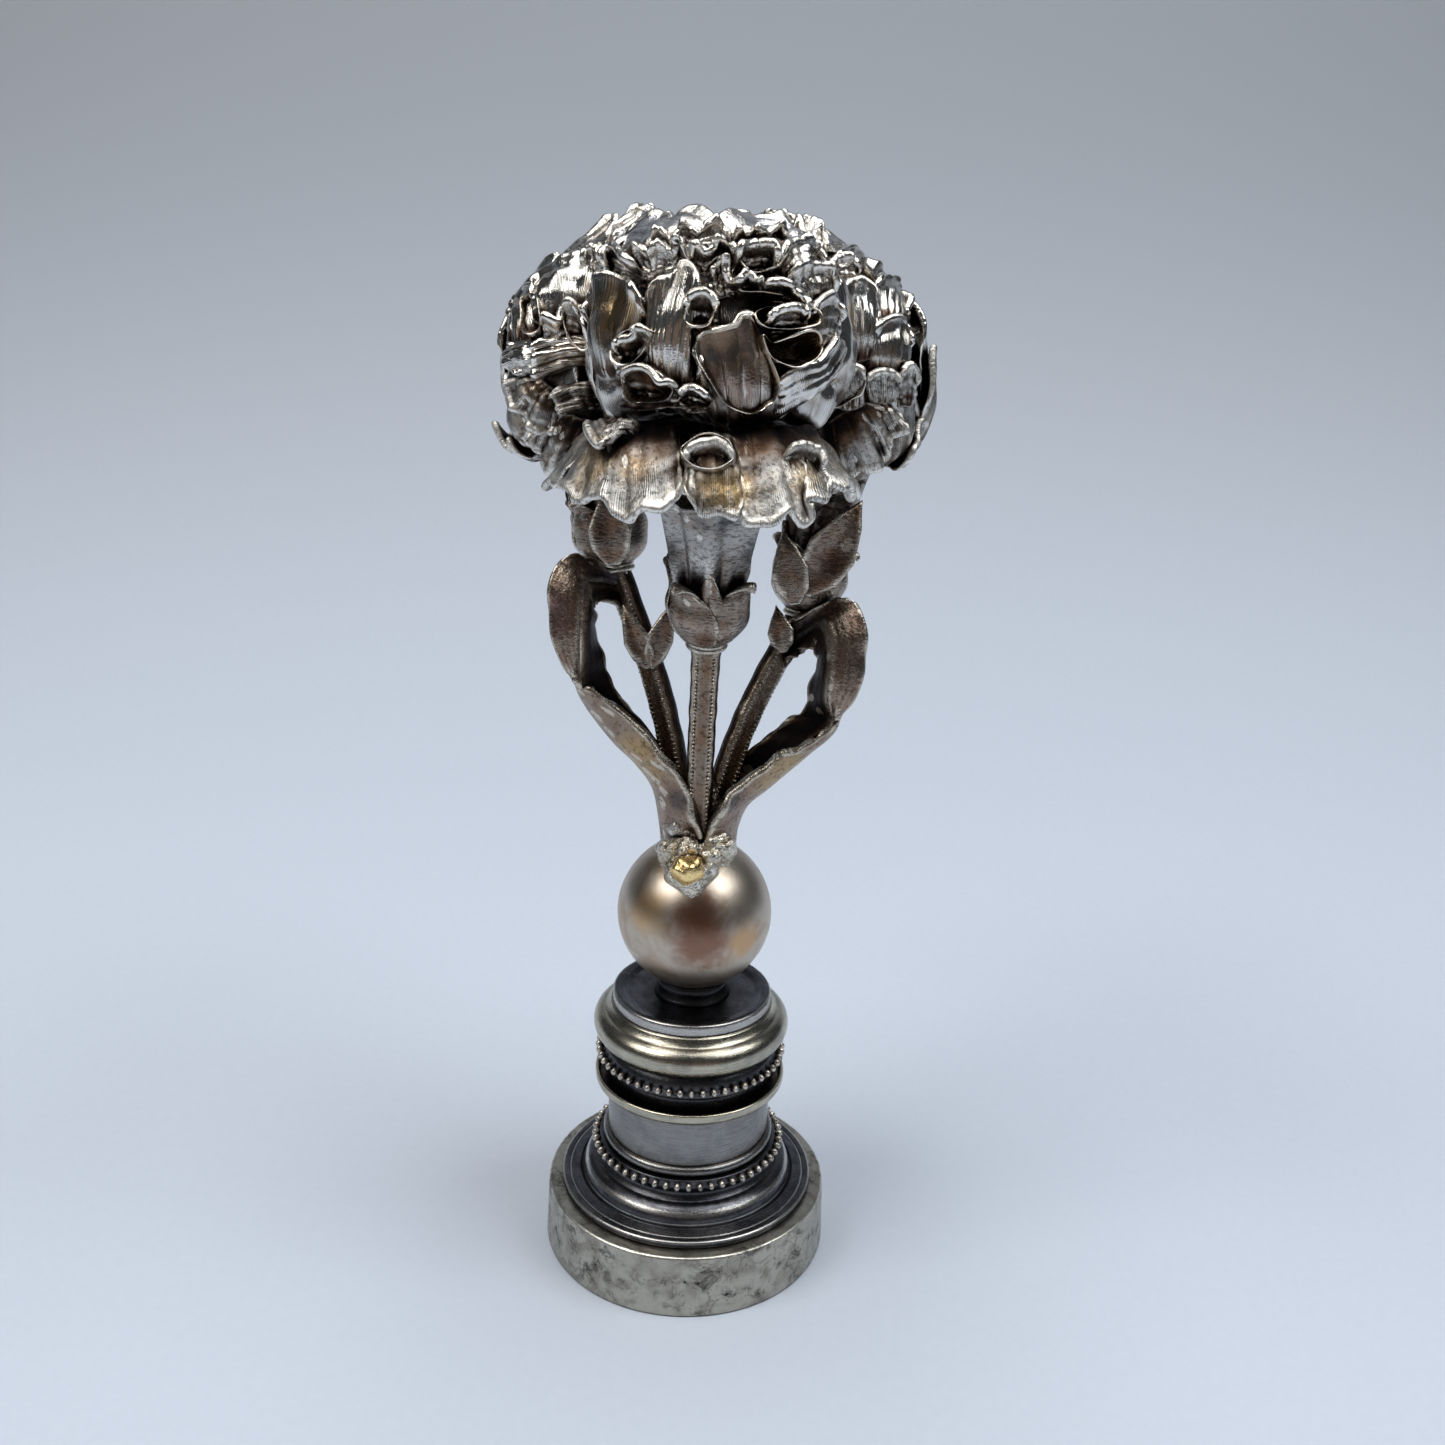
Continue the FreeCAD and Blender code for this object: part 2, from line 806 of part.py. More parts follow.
RIGHT_LEAF_ROW_SHARES = (
    (0.200, 0.000, 0.00, 0.55, 0.40, 0),
    (0.313, 0.100, 0.00, 0.60, 0.70, 0),
    (0.452, 0.187, 0.00, 0.66, 1.00, 0),
    (0.609, 0.290, 0.00, 0.72, 1.00, 6),
    (0.750, 0.415, 0.00, 0.80, 0.85, 24),
    (0.830, 0.550, 0.00, 0.90, 0.55, 44),
    (0.860, 0.695, 0.00, 1.00, 0.35, 58),
    (0.865, 0.840, 0.00, 1.00, 0.25, 62),
    (0.850, 0.935, 0.03, 0.90, 0.20, 56),
    (0.790, 0.995, 0.09, 0.78, 0.15, 42),
    (0.710, 0.960, 0.17, 0.66, 0.10, 22),
    (0.630, 0.850, 0.24, 0.50, 0.10, 8),
)
LEAF_COLUMN_SHARES = (-1.0, -0.5, 0.0, 0.5, 1.0)
LEFT_LEAF_AZIMUTH = 188.0
RIGHT_LEAF_AZIMUTH = -8.0
FRONTWARD = Vector(0, -1, 0)


def leaf_shape(reach, rise, azimuth, rows):
    """Folded, turned and curled leaf in the plane of its azimuth."""
    outward = Rotation(Vector(0, 0, 1), azimuth).multVec(Vector(1, 0, 0))
    front = (FRONTWARD - outward * FRONTWARD.dot(outward)).normalize()
    floor = Vector(0, 0, neck_top.value)
    spine = [
        floor + outward * (reach * row[0]) + Vector(0, 0, rise * row[1]) - front * (reach * row[2])
        for row in rows
    ]
    grid = []
    last = len(rows) - 1
    for i, (middle, row) in enumerate(zip(spine, rows)):
        along = (spine[min(i + 1, last)] - spine[max(i - 1, 0)]).normalize()
        across = (front - along * front.dot(along)).normalize()
        hollow = along.cross(across).normalize()
        if hollow.dot(outward) > 0 and row[1] < 1 and i < last - 2:
            hollow = -hollow
        turn = math.radians(row[5])
        wing = across * math.cos(turn) - hollow * math.sin(turn)
        open_side = hollow * math.cos(turn) + across * math.sin(turn)
        half_width = size("leaf_width").value * row[3] / 2
        fold = size("leaf_fold").value * row[4]
        grid.append([
            middle + wing * (half_width * u) + open_side * (fold * u * u)
            for u in LEAF_COLUMN_SHARES
        ])
    return sheet_solid(grid, size("leaf_thickness").value)


cast(
    "left_leaf",
    leaf_shape(
        size("left_leaf_reach").value,
        size("left_leaf_rise").value,
        LEFT_LEAF_AZIMUTH,
        LEFT_LEAF_ROW_SHARES,
    ),
)
cast(
    "right_leaf",
    leaf_shape(
        size("right_leaf_reach").value,
        size("right_leaf_rise").value,
        RIGHT_LEAF_AZIMUTH,
        RIGHT_LEAF_ROW_SHARES,
    ),
)

# Bracts: small folded blades on the side stems

BRACT_ROW_SHARES = (
    (0.0, 0.35, 0.1),
    (0.25, 0.85, 0.5),
    (0.55, 1.0, 0.6),
    (0.8, 0.6, 0.4),
    (1.0, 0.12, 0.0),
)
BRACT_COLUMN_SHARES = (-1.0, 0.0, 1.0)


def bract_shape(foot, tip, facing):
    """Small blade from its foot to its tip, hollow towards the side it faces."""
    length = (tip - foot).Length
    along = (tip - foot).normalize()
    across = along.cross(facing).normalize()
    grid = []
    for share, width_share, fold_share in BRACT_ROW_SHARES:
        half_width = size("bract_width").value * width_share / 2
        grid.append([
            foot
            + along * (length * share)
            + across * (half_width * u)
            + facing * (half_width * fold_share * abs(u))
            for u in BRACT_COLUMN_SHARES
        ])
    return sheet_solid(grid, size("bract_thickness").value)


def add_bract(label, sprig, share, lean, length_share):
    """Bract in front of a stem at a share of its height, leaning to one side."""
    foot = sprig.stem_middle(share) + FRONTWARD * size("bract_stand").value
    length = size("bract_length").value * length_share
    angle = math.radians(lean)
    tip = foot + Vector(math.sin(angle), 0, math.cos(angle)) * length
    cast(label, bract_shape(foot, tip, FRONTWARD))


add_bract("left_bract_outer", sprigs["left"], 0.64, -24.0, 0.95)
add_bract("left_bract_inner", sprigs["left"], 0.64, 18.0, 1.0)
add_bract("right_bract", sprigs["right"], 0.85, -12.0, 0.65)

# Web that fills the crotch of the three stems


def web_shape():
    """Three-sided body between the stems' inner faces."""
    height = size("web_height").value
    levels = []
    for rise in (0, height):
        inset = min(
            sprig.stem_middle(rise / sprig.own("stem_rise")).dot(sprig.outward)
            for sprig in sprigs.values()
        )
        levels.append((2 * (inset - size("stem_depth").value / 2), rise))
    return many_sided(levels, 3, 1 / 12)


cast("stem_web", web_shape(), Placement(Vector(0, 0, neck_top.value), Rotation()))

# Soldered tab that lies on the ball in front of the neck

TAB_ROW_SHARES = (0.0, 0.5, 1.0)
TAB_COLUMN_SHARES = (-1.0, 0.0, 1.0)


def tab_shape():
    """Small plate bent to the ball, from the neck forwards."""
    radius = size("ball_radius").value + size("tab_thickness").value / 2
    start = math.asin(size("neck_radius").value / radius) + size("tab_gap").value / radius
    sweep = size("tab_length").value / radius
    grid = []
    for row in TAB_ROW_SHARES:
        polar = start + sweep * row
        line = []
        for column in TAB_COLUMN_SHARES:
            swing = column * size("tab_width").value / 2 / radius
            line.append(
                Vector(
                    radius * math.sin(swing),
                    -radius * math.sin(polar) * math.cos(swing),
                    ball_middle.value + radius * math.cos(polar) * math.cos(swing),
                )
            )
        grid.append(line)
    return sheet_solid(grid, size("tab_thickness").value)


cast("solder_tab", tab_shape())

doc.recompute()
faults = [item.Name for item in doc.Objects if {"Invalid", "Error"} & set(item.State)]
faults += [item.Label for item in PIECES if item.Shape.isNull() or not item.Shape.isValid()]
if faults:
    raise ValueError("pieces that failed: " + ", ".join(faults))

os.makedirs("parts", exist_ok=True)
for piece in PIECES:
    piece.Shape.exportStep(f"parts/{piece.Label}.step")
    print(piece.Label, len(piece.Shape.Solids), round(piece.Shape.Volume, 2))
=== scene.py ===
"""Desk seal: a turned and beaded silver foot, a ball, and a cast bouquet of three carnations."""

import logging
import math
from dataclasses import dataclass, field
from enum import Enum
from typing import Any, Iterable, Sequence

import bpy
import numpy as np
from mathutils import Matrix, Vector


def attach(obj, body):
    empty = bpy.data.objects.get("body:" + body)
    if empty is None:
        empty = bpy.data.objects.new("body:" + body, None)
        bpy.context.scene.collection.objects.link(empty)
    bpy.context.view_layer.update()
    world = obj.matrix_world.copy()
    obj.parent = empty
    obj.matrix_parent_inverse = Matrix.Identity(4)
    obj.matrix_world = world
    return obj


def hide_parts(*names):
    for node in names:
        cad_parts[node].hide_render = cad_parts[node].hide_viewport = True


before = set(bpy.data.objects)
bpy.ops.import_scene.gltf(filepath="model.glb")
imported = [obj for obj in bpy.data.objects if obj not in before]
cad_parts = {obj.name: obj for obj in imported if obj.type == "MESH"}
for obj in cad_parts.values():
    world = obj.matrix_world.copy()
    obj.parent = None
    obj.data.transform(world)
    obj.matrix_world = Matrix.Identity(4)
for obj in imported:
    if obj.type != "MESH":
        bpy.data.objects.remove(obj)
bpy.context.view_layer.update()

MM = 0.001
Colour = tuple[float, float, float, float]
Corner = tuple[float, float, float]
log = logging.getLogger("desk_seal")


def rgb(red: float, green: float, blue: float) -> Colour:
    """Opaque colour of three linear values."""
    return (red, green, blue, 1.0)


class Val:
    """A shader value whose operators add Math nodes."""

    def __init__(self, shader: "Shader", socket: bpy.types.NodeSocket) -> None:
        """Keeps the socket and the shader that owns it."""
        self.shader = shader
        self.socket = socket

    def _with(self, operation: str, first: Any, second: Any) -> "Val":
        """Adds one Math node of two values."""
        return self.shader.maths(operation, first, second)

    def __add__(self, other: Any) -> "Val":
        """Sum."""
        return self._with("ADD", self, other)

    def __radd__(self, other: Any) -> "Val":
        """Sum with a number first."""
        return self._with("ADD", other, self)

    def __sub__(self, other: Any) -> "Val":
        """Difference."""
        return self._with("SUBTRACT", self, other)

    def __rsub__(self, other: Any) -> "Val":
        """Difference with a number first."""
        return self._with("SUBTRACT", other, self)

    def __mul__(self, other: Any) -> "Val":
        """Product."""
        return self._with("MULTIPLY", self, other)

    def __rmul__(self, other: Any) -> "Val":
        """Product with a number first."""
        return self._with("MULTIPLY", other, self)

    def __pow__(self, other: Any) -> "Val":
        """Power."""
        return self._with("POWER", self, other)

    def __abs__(self) -> "Val":
        """Absolute value."""
        return self._with("ABSOLUTE", self, 0.0)

    def clamped(self) -> "Val":
        """The value kept between 0 and 1."""
        return self.shader.clamp(self)


class Shader:
    """Builds the node tree of one material."""

    def __init__(self, name: str) -> None:
        """Makes an empty material.

        Args:
            name: Name of the material.
        """
        self.material = bpy.data.materials.new(name)
        self.material.use_nodes = True
        self.tree = self.material.node_tree
        self.tree.nodes.clear()

    def add(
        self,
        kind: str,
        settings: dict[str, Any] | None = None,
        inputs: dict[Any, Any] | None = None,
    ) -> bpy.types.Node:
        """Adds a node.

        Args:
            kind: Type of the node without its ShaderNode prefix.
            settings: Properties of the node.
            inputs: Values or links of its sockets by name or place.

        Returns:
            The new node.
        """
        node = self.tree.nodes.new("ShaderNode" + kind)
        for key, value in (settings or {}).items():
            setattr(node, key, value)
        for key, value in (inputs or {}).items():
            if isinstance(value, Val):
                self.tree.links.new(value.socket, node.inputs[key])
            else:
                node.inputs[key].default_value = value
        return node

    def get(
        self,
        kind: str,
        settings: dict[str, Any] | None = None,
        inputs: dict[Any, Any] | None = None,
        output: Any = 0,
    ) -> Val:
        """Adds a node and gives one of its outputs as a value."""
        return Val(self, self.add(kind, settings, inputs).outputs[output])

    def maths(self, operation: str, first: Any, second: Any) -> Val:
        """Adds a Math node of two values."""
        return self.get("Math", {"operation": operation}, {0: first, 1: second})

    def clamp(self, value: Val) -> Val:
        """Keeps a value between 0 and 1."""
        return self.get("Clamp", None, {0: value})

    def spread(self, value: Val, low: float, high: float) -> Val:
        """Maps a range smoothly to 0 and 1.

        Args:
            value: The value to map.
            low: What becomes 0.
            high: What becomes 1.

        Returns:
            The mapped value.
        """
        settings = {"interpolation_type": "SMOOTHSTEP"}
        return self.get("MapRange", settings, {0: value, 1: low, 2: high, 3: 0.0, 4: 1.0})

    def place(self, scale: Sequence[float] = (1.0, 1.0, 1.0)) -> Val:
        """Object coordinates in millimetres.

        Args:
            scale: Stretch by axis.

        Returns:
            The coordinates.
        """
        source = self.get("TexCoord", None, None, "Object")
        factors = tuple(value / MM for value in scale)
        return self.get("Mapping", None, {"Vector": source, "Scale": factors})

    def noise(
        self,
        size: float,
        detail: float = 3.0,
        rough: float = 0.55,
        bend: float = 0.0,
        scale: Sequence[float] = (1.0, 1.0, 1.0),
    ) -> Val:
        """Noise on Object coordinates.

        Args:
            size: Size of a patch in millimetres.
            detail: Octaves of finer noise.
            rough: Strength of the finer noise.
            bend: Distortion of the pattern.
            scale: Stretch of the pattern by axis.

        Returns:
            Value from 0 to 1.
        """
        inputs = {
            "Vector": self.place(scale),
            "Scale": 1.0 / size,
            "Detail": detail,
            "Roughness": rough,
            "Distortion": bend,
        }
        return self.get("TexNoise", None, inputs, "Fac")

    def weave(self) -> Val:
        """The two coordinates that a sheet carries, across and along it."""
        return self.get("UVMap", {"uv_map": "weave"}, None, "UV")

    def axis(self, vector: Val, letter: str) -> Val:
        """One coordinate of a vector."""
        return self.get("SeparateXYZ", None, {"Vector": vector}, letter)

    def lines(self, bend: float, fine_scale: float = 1.0) -> Val:
        """Wavering lines that run along a sheet.

        Args:
            bend: Distortion of the lines.
            fine_scale: Scale of the finer wavering.

        Returns:
            Value from 0 to 1.
        """
        inputs = {
            "Vector": self.weave(),
            "Scale": 1.0,
            "Distortion": bend,
            "Detail": 2.0,
            "Detail Scale": fine_scale,
        }
        return self.get(
            "TexWave", {"wave_type": "BANDS", "bands_direction": "X"}, inputs, "Fac"
        )

    def mix(self, share: Any, first: Any, second: Any) -> Val:
        """Mixes two colours."""
        return self.get("Mix", {"data_type": "RGBA"}, {0: share, 6: first, 7: second}, 2)

    def bump(
        self, height: Val, strength: float, distance: float, normal: Val | None = None
    ) -> Val:
        """Bump node of a height.

        Args:
            height: Height of the relief.
            strength: Strength of the bump.
            distance: Reach of the relief in millimetres.
            normal: Normal that the relief is added to.

        Returns:
            The bumped normal.
        """
        inputs: dict[Any, Any] = {"Height": height, "Strength": strength, "Distance": distance * MM}
        if normal is not None:
            inputs["Normal"] = normal
        return self.get("Bump", None, inputs, "Normal")

    def finish(self, sockets: dict[str, Any]) -> bpy.types.Material:
        """Ends the material in a principled shader.

        Args:
            sockets: Values of the shader's inputs.

        Returns:
            The material.
        """
        surface = self.get("BsdfPrincipled", None, sockets)
        self.add("OutputMaterial", None, {"Surface": surface})
        return self.material


BRIGHT = rgb(0.76, 0.745, 0.71)
SATIN = rgb(0.37, 0.36, 0.34)
WARM = rgb(0.44, 0.32, 0.20)
BROWN = rgb(0.22, 0.125, 0.075)
BLACK = rgb(0.010, 0.010, 0.013)
GOLDEN = rgb(0.60, 0.42, 0.20)
RUST = rgb(0.20, 0.10, 0.06)


class Skin(Enum):
    """How the surface of a silver piece was worked."""

    CAST = "cast"
    CHASED = "chased"
    STIPPLED = "stippled"
    CRACKED = "cracked"
    HOLLOW = "hollow"
    ETCHED = "etched"
    TURNED = "turned"
    PITTED = "pitted"
    SATIN = "satin"
    MELTED = "melted"


STEM_FRONT = 1.5
"""Weave coordinate of the front line of a stem."""


@dataclass(frozen=True)
class Silver:
    """Oxidised silver that is bright where hands rub it and black in its recesses, with painted
    shade, highlights and reflections where a finish asks for them.
    """

    name: str
    skin: Skin
    bright: Colour
    toning: Colour
    polish: float
    dull: float
    recess: float
    recess_from: float
    recess_to: float
    dark: Colour = BLACK
    toning_share: float = 0.5
    edge: float = 0.0
    halo: Colour = (0.10, 0.055, 0.03, 1.0)
    worn: Colour = (0.90, 0.86, 0.79, 1.0)
    # Spots of colour by place: real stains and toning, and on some finishes painted shade,
    # highlights and reflections.
    stains_and_painted_light: tuple[tuple[float, float, float, float, Colour], ...] = ()
    rims: tuple[tuple[float, float, float], ...] = ()
    root: float = 0.0
    # Share of a petal's length that is painted dark at its root as shade, where it goes under the
    # petals over it, or 0.
    """Share of a petal's length that stays dark at its root, or 0."""
    flank: float = 0.0
    # How far round from its front a stem keeps its colour; beyond that its sides are painted dark
    # as shade. 0 for none.
    """How far round from its front a stem stays open to wear, or 0."""
    selvage: float = 0.0
    # Width of a leaf in weave units, for its bright near rim and the painted shade over its far
    # part, or 0.
    """Width of a leaf in weave units, for its bright near rim, or 0."""

    def material(self) -> bpy.types.Material:
        """Builds the material.

        Returns:
            Metal with recess, toning, wear, painted shade and highlights, and the skin's own
            relief.
        """
        shader = Shader(self.name)
        hollow = shader.get(
            "AmbientOcclusion", {"samples": 6}, {"Distance": self.recess * MM}, "AO"
        )
        patches = shader.noise(1.6, 4.0, 0.6, 0.4)
        open_share = shader.spread(
            hollow + (patches - 0.5) * 0.3, self.recess_from, self.recess_to
        )
        tone_mask = shader.spread(shader.noise(2.4, 3.0, 0.55, 0.8), 0.42, 0.66)
        fine = shader.noise(0.16, 2.0, 0.6)
        skin_colour = shader.mix(tone_mask * self.toning_share, self.bright, self.toning)
        skin_colour = self._placed(shader, skin_colour, patches, fine)
        skin_colour, open_share = self._woven(shader, skin_colour, open_share, patches, fine)
        if self.edge > 0:
            ridge = shader.get("NewGeometry", None, None, "Pointiness")
            worn = shader.spread(ridge, 0.5, 0.5 + self.edge)
            cut = shader.spread(ridge, 0.5 - self.edge, 0.5)
            open_share = (open_share * (0.35 + 0.65 * cut) + worn * 0.5).clamped()
            skin_colour = shader.mix(worn * 0.8, skin_colour, self.worn)
        colour = shader.mix(shader.spread(open_share, 0.0, 0.4), self.dark, self.halo)
        colour = shader.mix(shader.spread(open_share, 0.25, 0.9), colour, skin_colour)
        rough = self.dull + open_share * (self.polish - self.dull) + (fine - 0.5) * 0.14
        normal, marks_and_shade = self._relief(shader, fine)
        if marks_and_shade is not None:
            colour = shader.mix(marks_and_shade, colour, self.dark)
            rough = rough + marks_and_shade * 0.2
        return shader.finish(
            {
                "Base Color": colour,
                "Metallic": 1.0,
                "Roughness": rough.clamped(),
                "Normal": normal,
            }
        )

    def _placed(self, shader: Shader, skin_colour: Val, patches: Val, fine: Val) -> Val:
        """Adds the stains, painted shade, highlights and reflections, and the rubbed rims that have
        their place on the seal.

        Args:
            shader: The material in the making.
            skin_colour: Colour so far.
            patches: Noise that frays the stains and the painted light.
            fine: Noise that frays the rims.

        Returns:
            The colour with stains, painted light and rims.
        """
        # Each spot is a stain or toning, or a painted shade, highlight or reflection, as its finish
        # lists it.
        for x, y, z, reach, spot_colour in self.stains_and_painted_light:
            spot = shader.get(
                "VectorMath", {"operation": "DISTANCE"}, {0: shader.place(), 1: (x, y, z)}, "Value"
            )
            near = shader.spread(spot + (patches - 0.5) * reach * 0.9, reach, reach * 0.3)
            skin_colour = shader.mix(near * 0.9, skin_colour, spot_colour)
        for radius, height, reach in self.rims:
            middle = shader.place()
            level = shader.get("VectorMath", {"operation": "MULTIPLY"}, {0: middle, 1: (1, 1, 0)})
            out = shader.get("VectorMath", {"operation": "LENGTH"}, {0: level}, "Value") - radius
            up = shader.axis(middle, "Z") - height
            near = (out * out + up * up) ** 0.5 + (fine - 0.5) * reach
            rubbed = shader.spread(near, reach, reach * 0.4)
            skin_colour = shader.mix(rubbed, skin_colour, self.worn)
        return skin_colour

    def _woven(
        self, shader: Shader, skin_colour: Val, open_share: Val, patches: Val, fine: Val
    ) -> tuple[Val, Val]:
        """Adds what follows a sheet: painted shade at petal roots, on stem sides and over a leaf's
        far part, and bright tips and near rims.

        Args:
            shader: The material in the making.
            skin_colour: Colour so far.
            open_share: How bright the surface stays so far, against oxide and painted shade.
            patches: Noise that frays the broad changes.
            fine: Noise that frays the narrow ones.

        Returns:
            The colour and the open share.
        """
        if self.root > 0:
            # Painted shade: each petal darkens towards its root; its tip is worn bright.
            along = shader.axis(shader.weave(), "Y")
            clear = shader.spread(along + (patches - 0.5) * 0.35, self.root * 0.2, self.root)
            open_share = open_share * (clear * 0.85 + 0.15)
            tip = shader.spread(along + (fine - 0.5) * 0.06, 0.90, 0.97)
            skin_colour = shader.mix(tip * 0.85, skin_colour, self.worn)
            open_share = (open_share + tip * 0.35).clamped()
        if self.flank > 0:
            # Painted shade on the sides of a stem, away from its front face.
            turned_off = abs(shader.axis(shader.weave(), "Y") - STEM_FRONT) + (fine - 0.5) * 0.25
            front = shader.spread(turned_off, self.flank + 0.15, self.flank - 0.1)
            open_share = open_share * front
        if self.selvage > 0:
            across = shader.axis(shader.weave(), "X")
            to_rim = across * (-2.0 / self.selvage) + (fine - 0.5) * 0.03
            rim = shader.spread(to_rim, -0.045, -0.015) * 0.75
            skin_colour = shader.mix(rim, skin_colour, self.worn)
            # Painted shade over the far part of a leaf, away from its near rim.
            lit = shader.spread(to_rim + (patches - 0.5) * 0.2, -1.45, -1.08)
            open_share = open_share * (lit * 0.9 + 0.1)
        return skin_colour, open_share

    def _relief(self, shader: Shader, fine: Val) -> tuple[Val, Val | None]:
        """Relief of the skin and the mask of its dark marks; in a pocket this mask is oxide and
        painted shade that deepen inwards.

        Args:
            shader: The material in the making.
            fine: Fine noise shared with the colour.

        Returns:
            The bumped normal, and the mask of dark marks, which for a pocket is its oxide and
            painted shade.
        """
        if self.skin is Skin.TURNED:
            rings = shader.noise(0.12, 4.0, 0.75, 0.0, (0.06, 0.06, 3.0))
            cuts = shader.spread(rings, 0.56, 0.40) * 0.35
            return shader.bump(rings, 0.3, 0.03), cuts
        if self.skin is Skin.PITTED:
            pits = shader.noise(0.45, 4.0, 0.7, 0.3)
            blots = shader.spread(shader.noise(1.5, 6.0, 0.75, 0.6), 0.47, 0.62)
            specks = shader.spread(shader.noise(0.35, 4.0, 0.75), 0.56, 0.68)
            bands = shader.spread(shader.noise(5.0, 3.0, 0.6, 0.5, (1.0, 1.0, 2.5)), 0.35, 0.62)
            mask = ((blots * 0.75 + specks * 0.65) * (bands * 0.8 + 0.2)).clamped()
            return shader.bump(pits, 0.5, 0.08), mask
        if self.skin is Skin.SATIN:
            brushed = shader.noise(0.12, 3.0, 0.7, 0.2, (1.0, 1.0, 2.2))
            return shader.bump(brushed, 0.22, 0.03), None
        if self.skin is Skin.MELTED:
            lumps = shader.noise(0.5, 3.0, 0.6, 1.2)
            return shader.bump(lumps, 0.8, 0.25), None
        if self.skin is Skin.CHASED:
            lines = shader.lines(2.5, 1.5)
            zone = shader.spread(shader.noise(1.8, 2.0, 0.5), 0.38, 0.58)
            first = shader.bump(lines * zone, 0.5, 0.035)
            cuts = shader.spread(lines, 0.42, 0.12) * zone * 0.42
            return shader.bump(fine, 0.35, 0.04, first), cuts
        if self.skin is Skin.STIPPLED:
            lines = shader.lines(4.0, 1.5)
            zone = shader.spread(shader.noise(2.2, 3.0, 0.6), 0.44, 0.60)
            grain = shader.noise(0.26, 4.0, 0.72)
            dots = shader.spread(grain, 0.50, 0.38) * 0.5
            cuts = (shader.spread(lines, 0.4, 0.15) * zone * 0.5 + dots).clamped()
            return shader.bump(grain, 0.6, 0.09, shader.bump(lines * zone, 0.5, 0.05)), cuts
        if self.skin is Skin.ETCHED:
            strokes = shader.noise(0.30, 4.0, 0.7, 0.3, (0.6, 0.6, 1.8))
            cuts = shader.spread(strokes, 0.50, 0.38) * 0.6
            return shader.bump(strokes, 0.6, 0.10), cuts
        if self.skin is Skin.HOLLOW:
            lines = shader.lines(1.5)
            inward = shader.axis(shader.weave(), "Y")
            # Oxide and painted shade: a pocket darkens deeper in.
            deep = shader.spread(inward + (fine - 0.5) * 0.1, 0.10, 0.34)
            streaks = shader.spread(lines + (fine - 0.5) * 0.4, 0.55, 0.95)
            shade = (deep * (1.0 - streaks * 0.6)).clamped()
            return shader.bump(fine, 0.4, 0.05, shader.bump(lines * deep, 0.7, 0.10)), shade
        if self.skin is Skin.CRACKED:
            wander = shader.noise(1.5, 3.0, 0.6, 1.0)
            cracks = shader.spread(abs(wander - 0.5), 0.035, 0.01)
            grain = shader.bump(fine, 0.5, 0.06)
            return shader.bump(cracks * -1.0, 0.8, 0.12, grain), cracks * 0.8
        pits = shader.noise(0.38, 4.0, 0.72)
        cuts = shader.spread(pits, 0.50, 0.34) * 0.6
        return shader.bump(fine + pits * 1.8, 0.5, 0.07), cuts


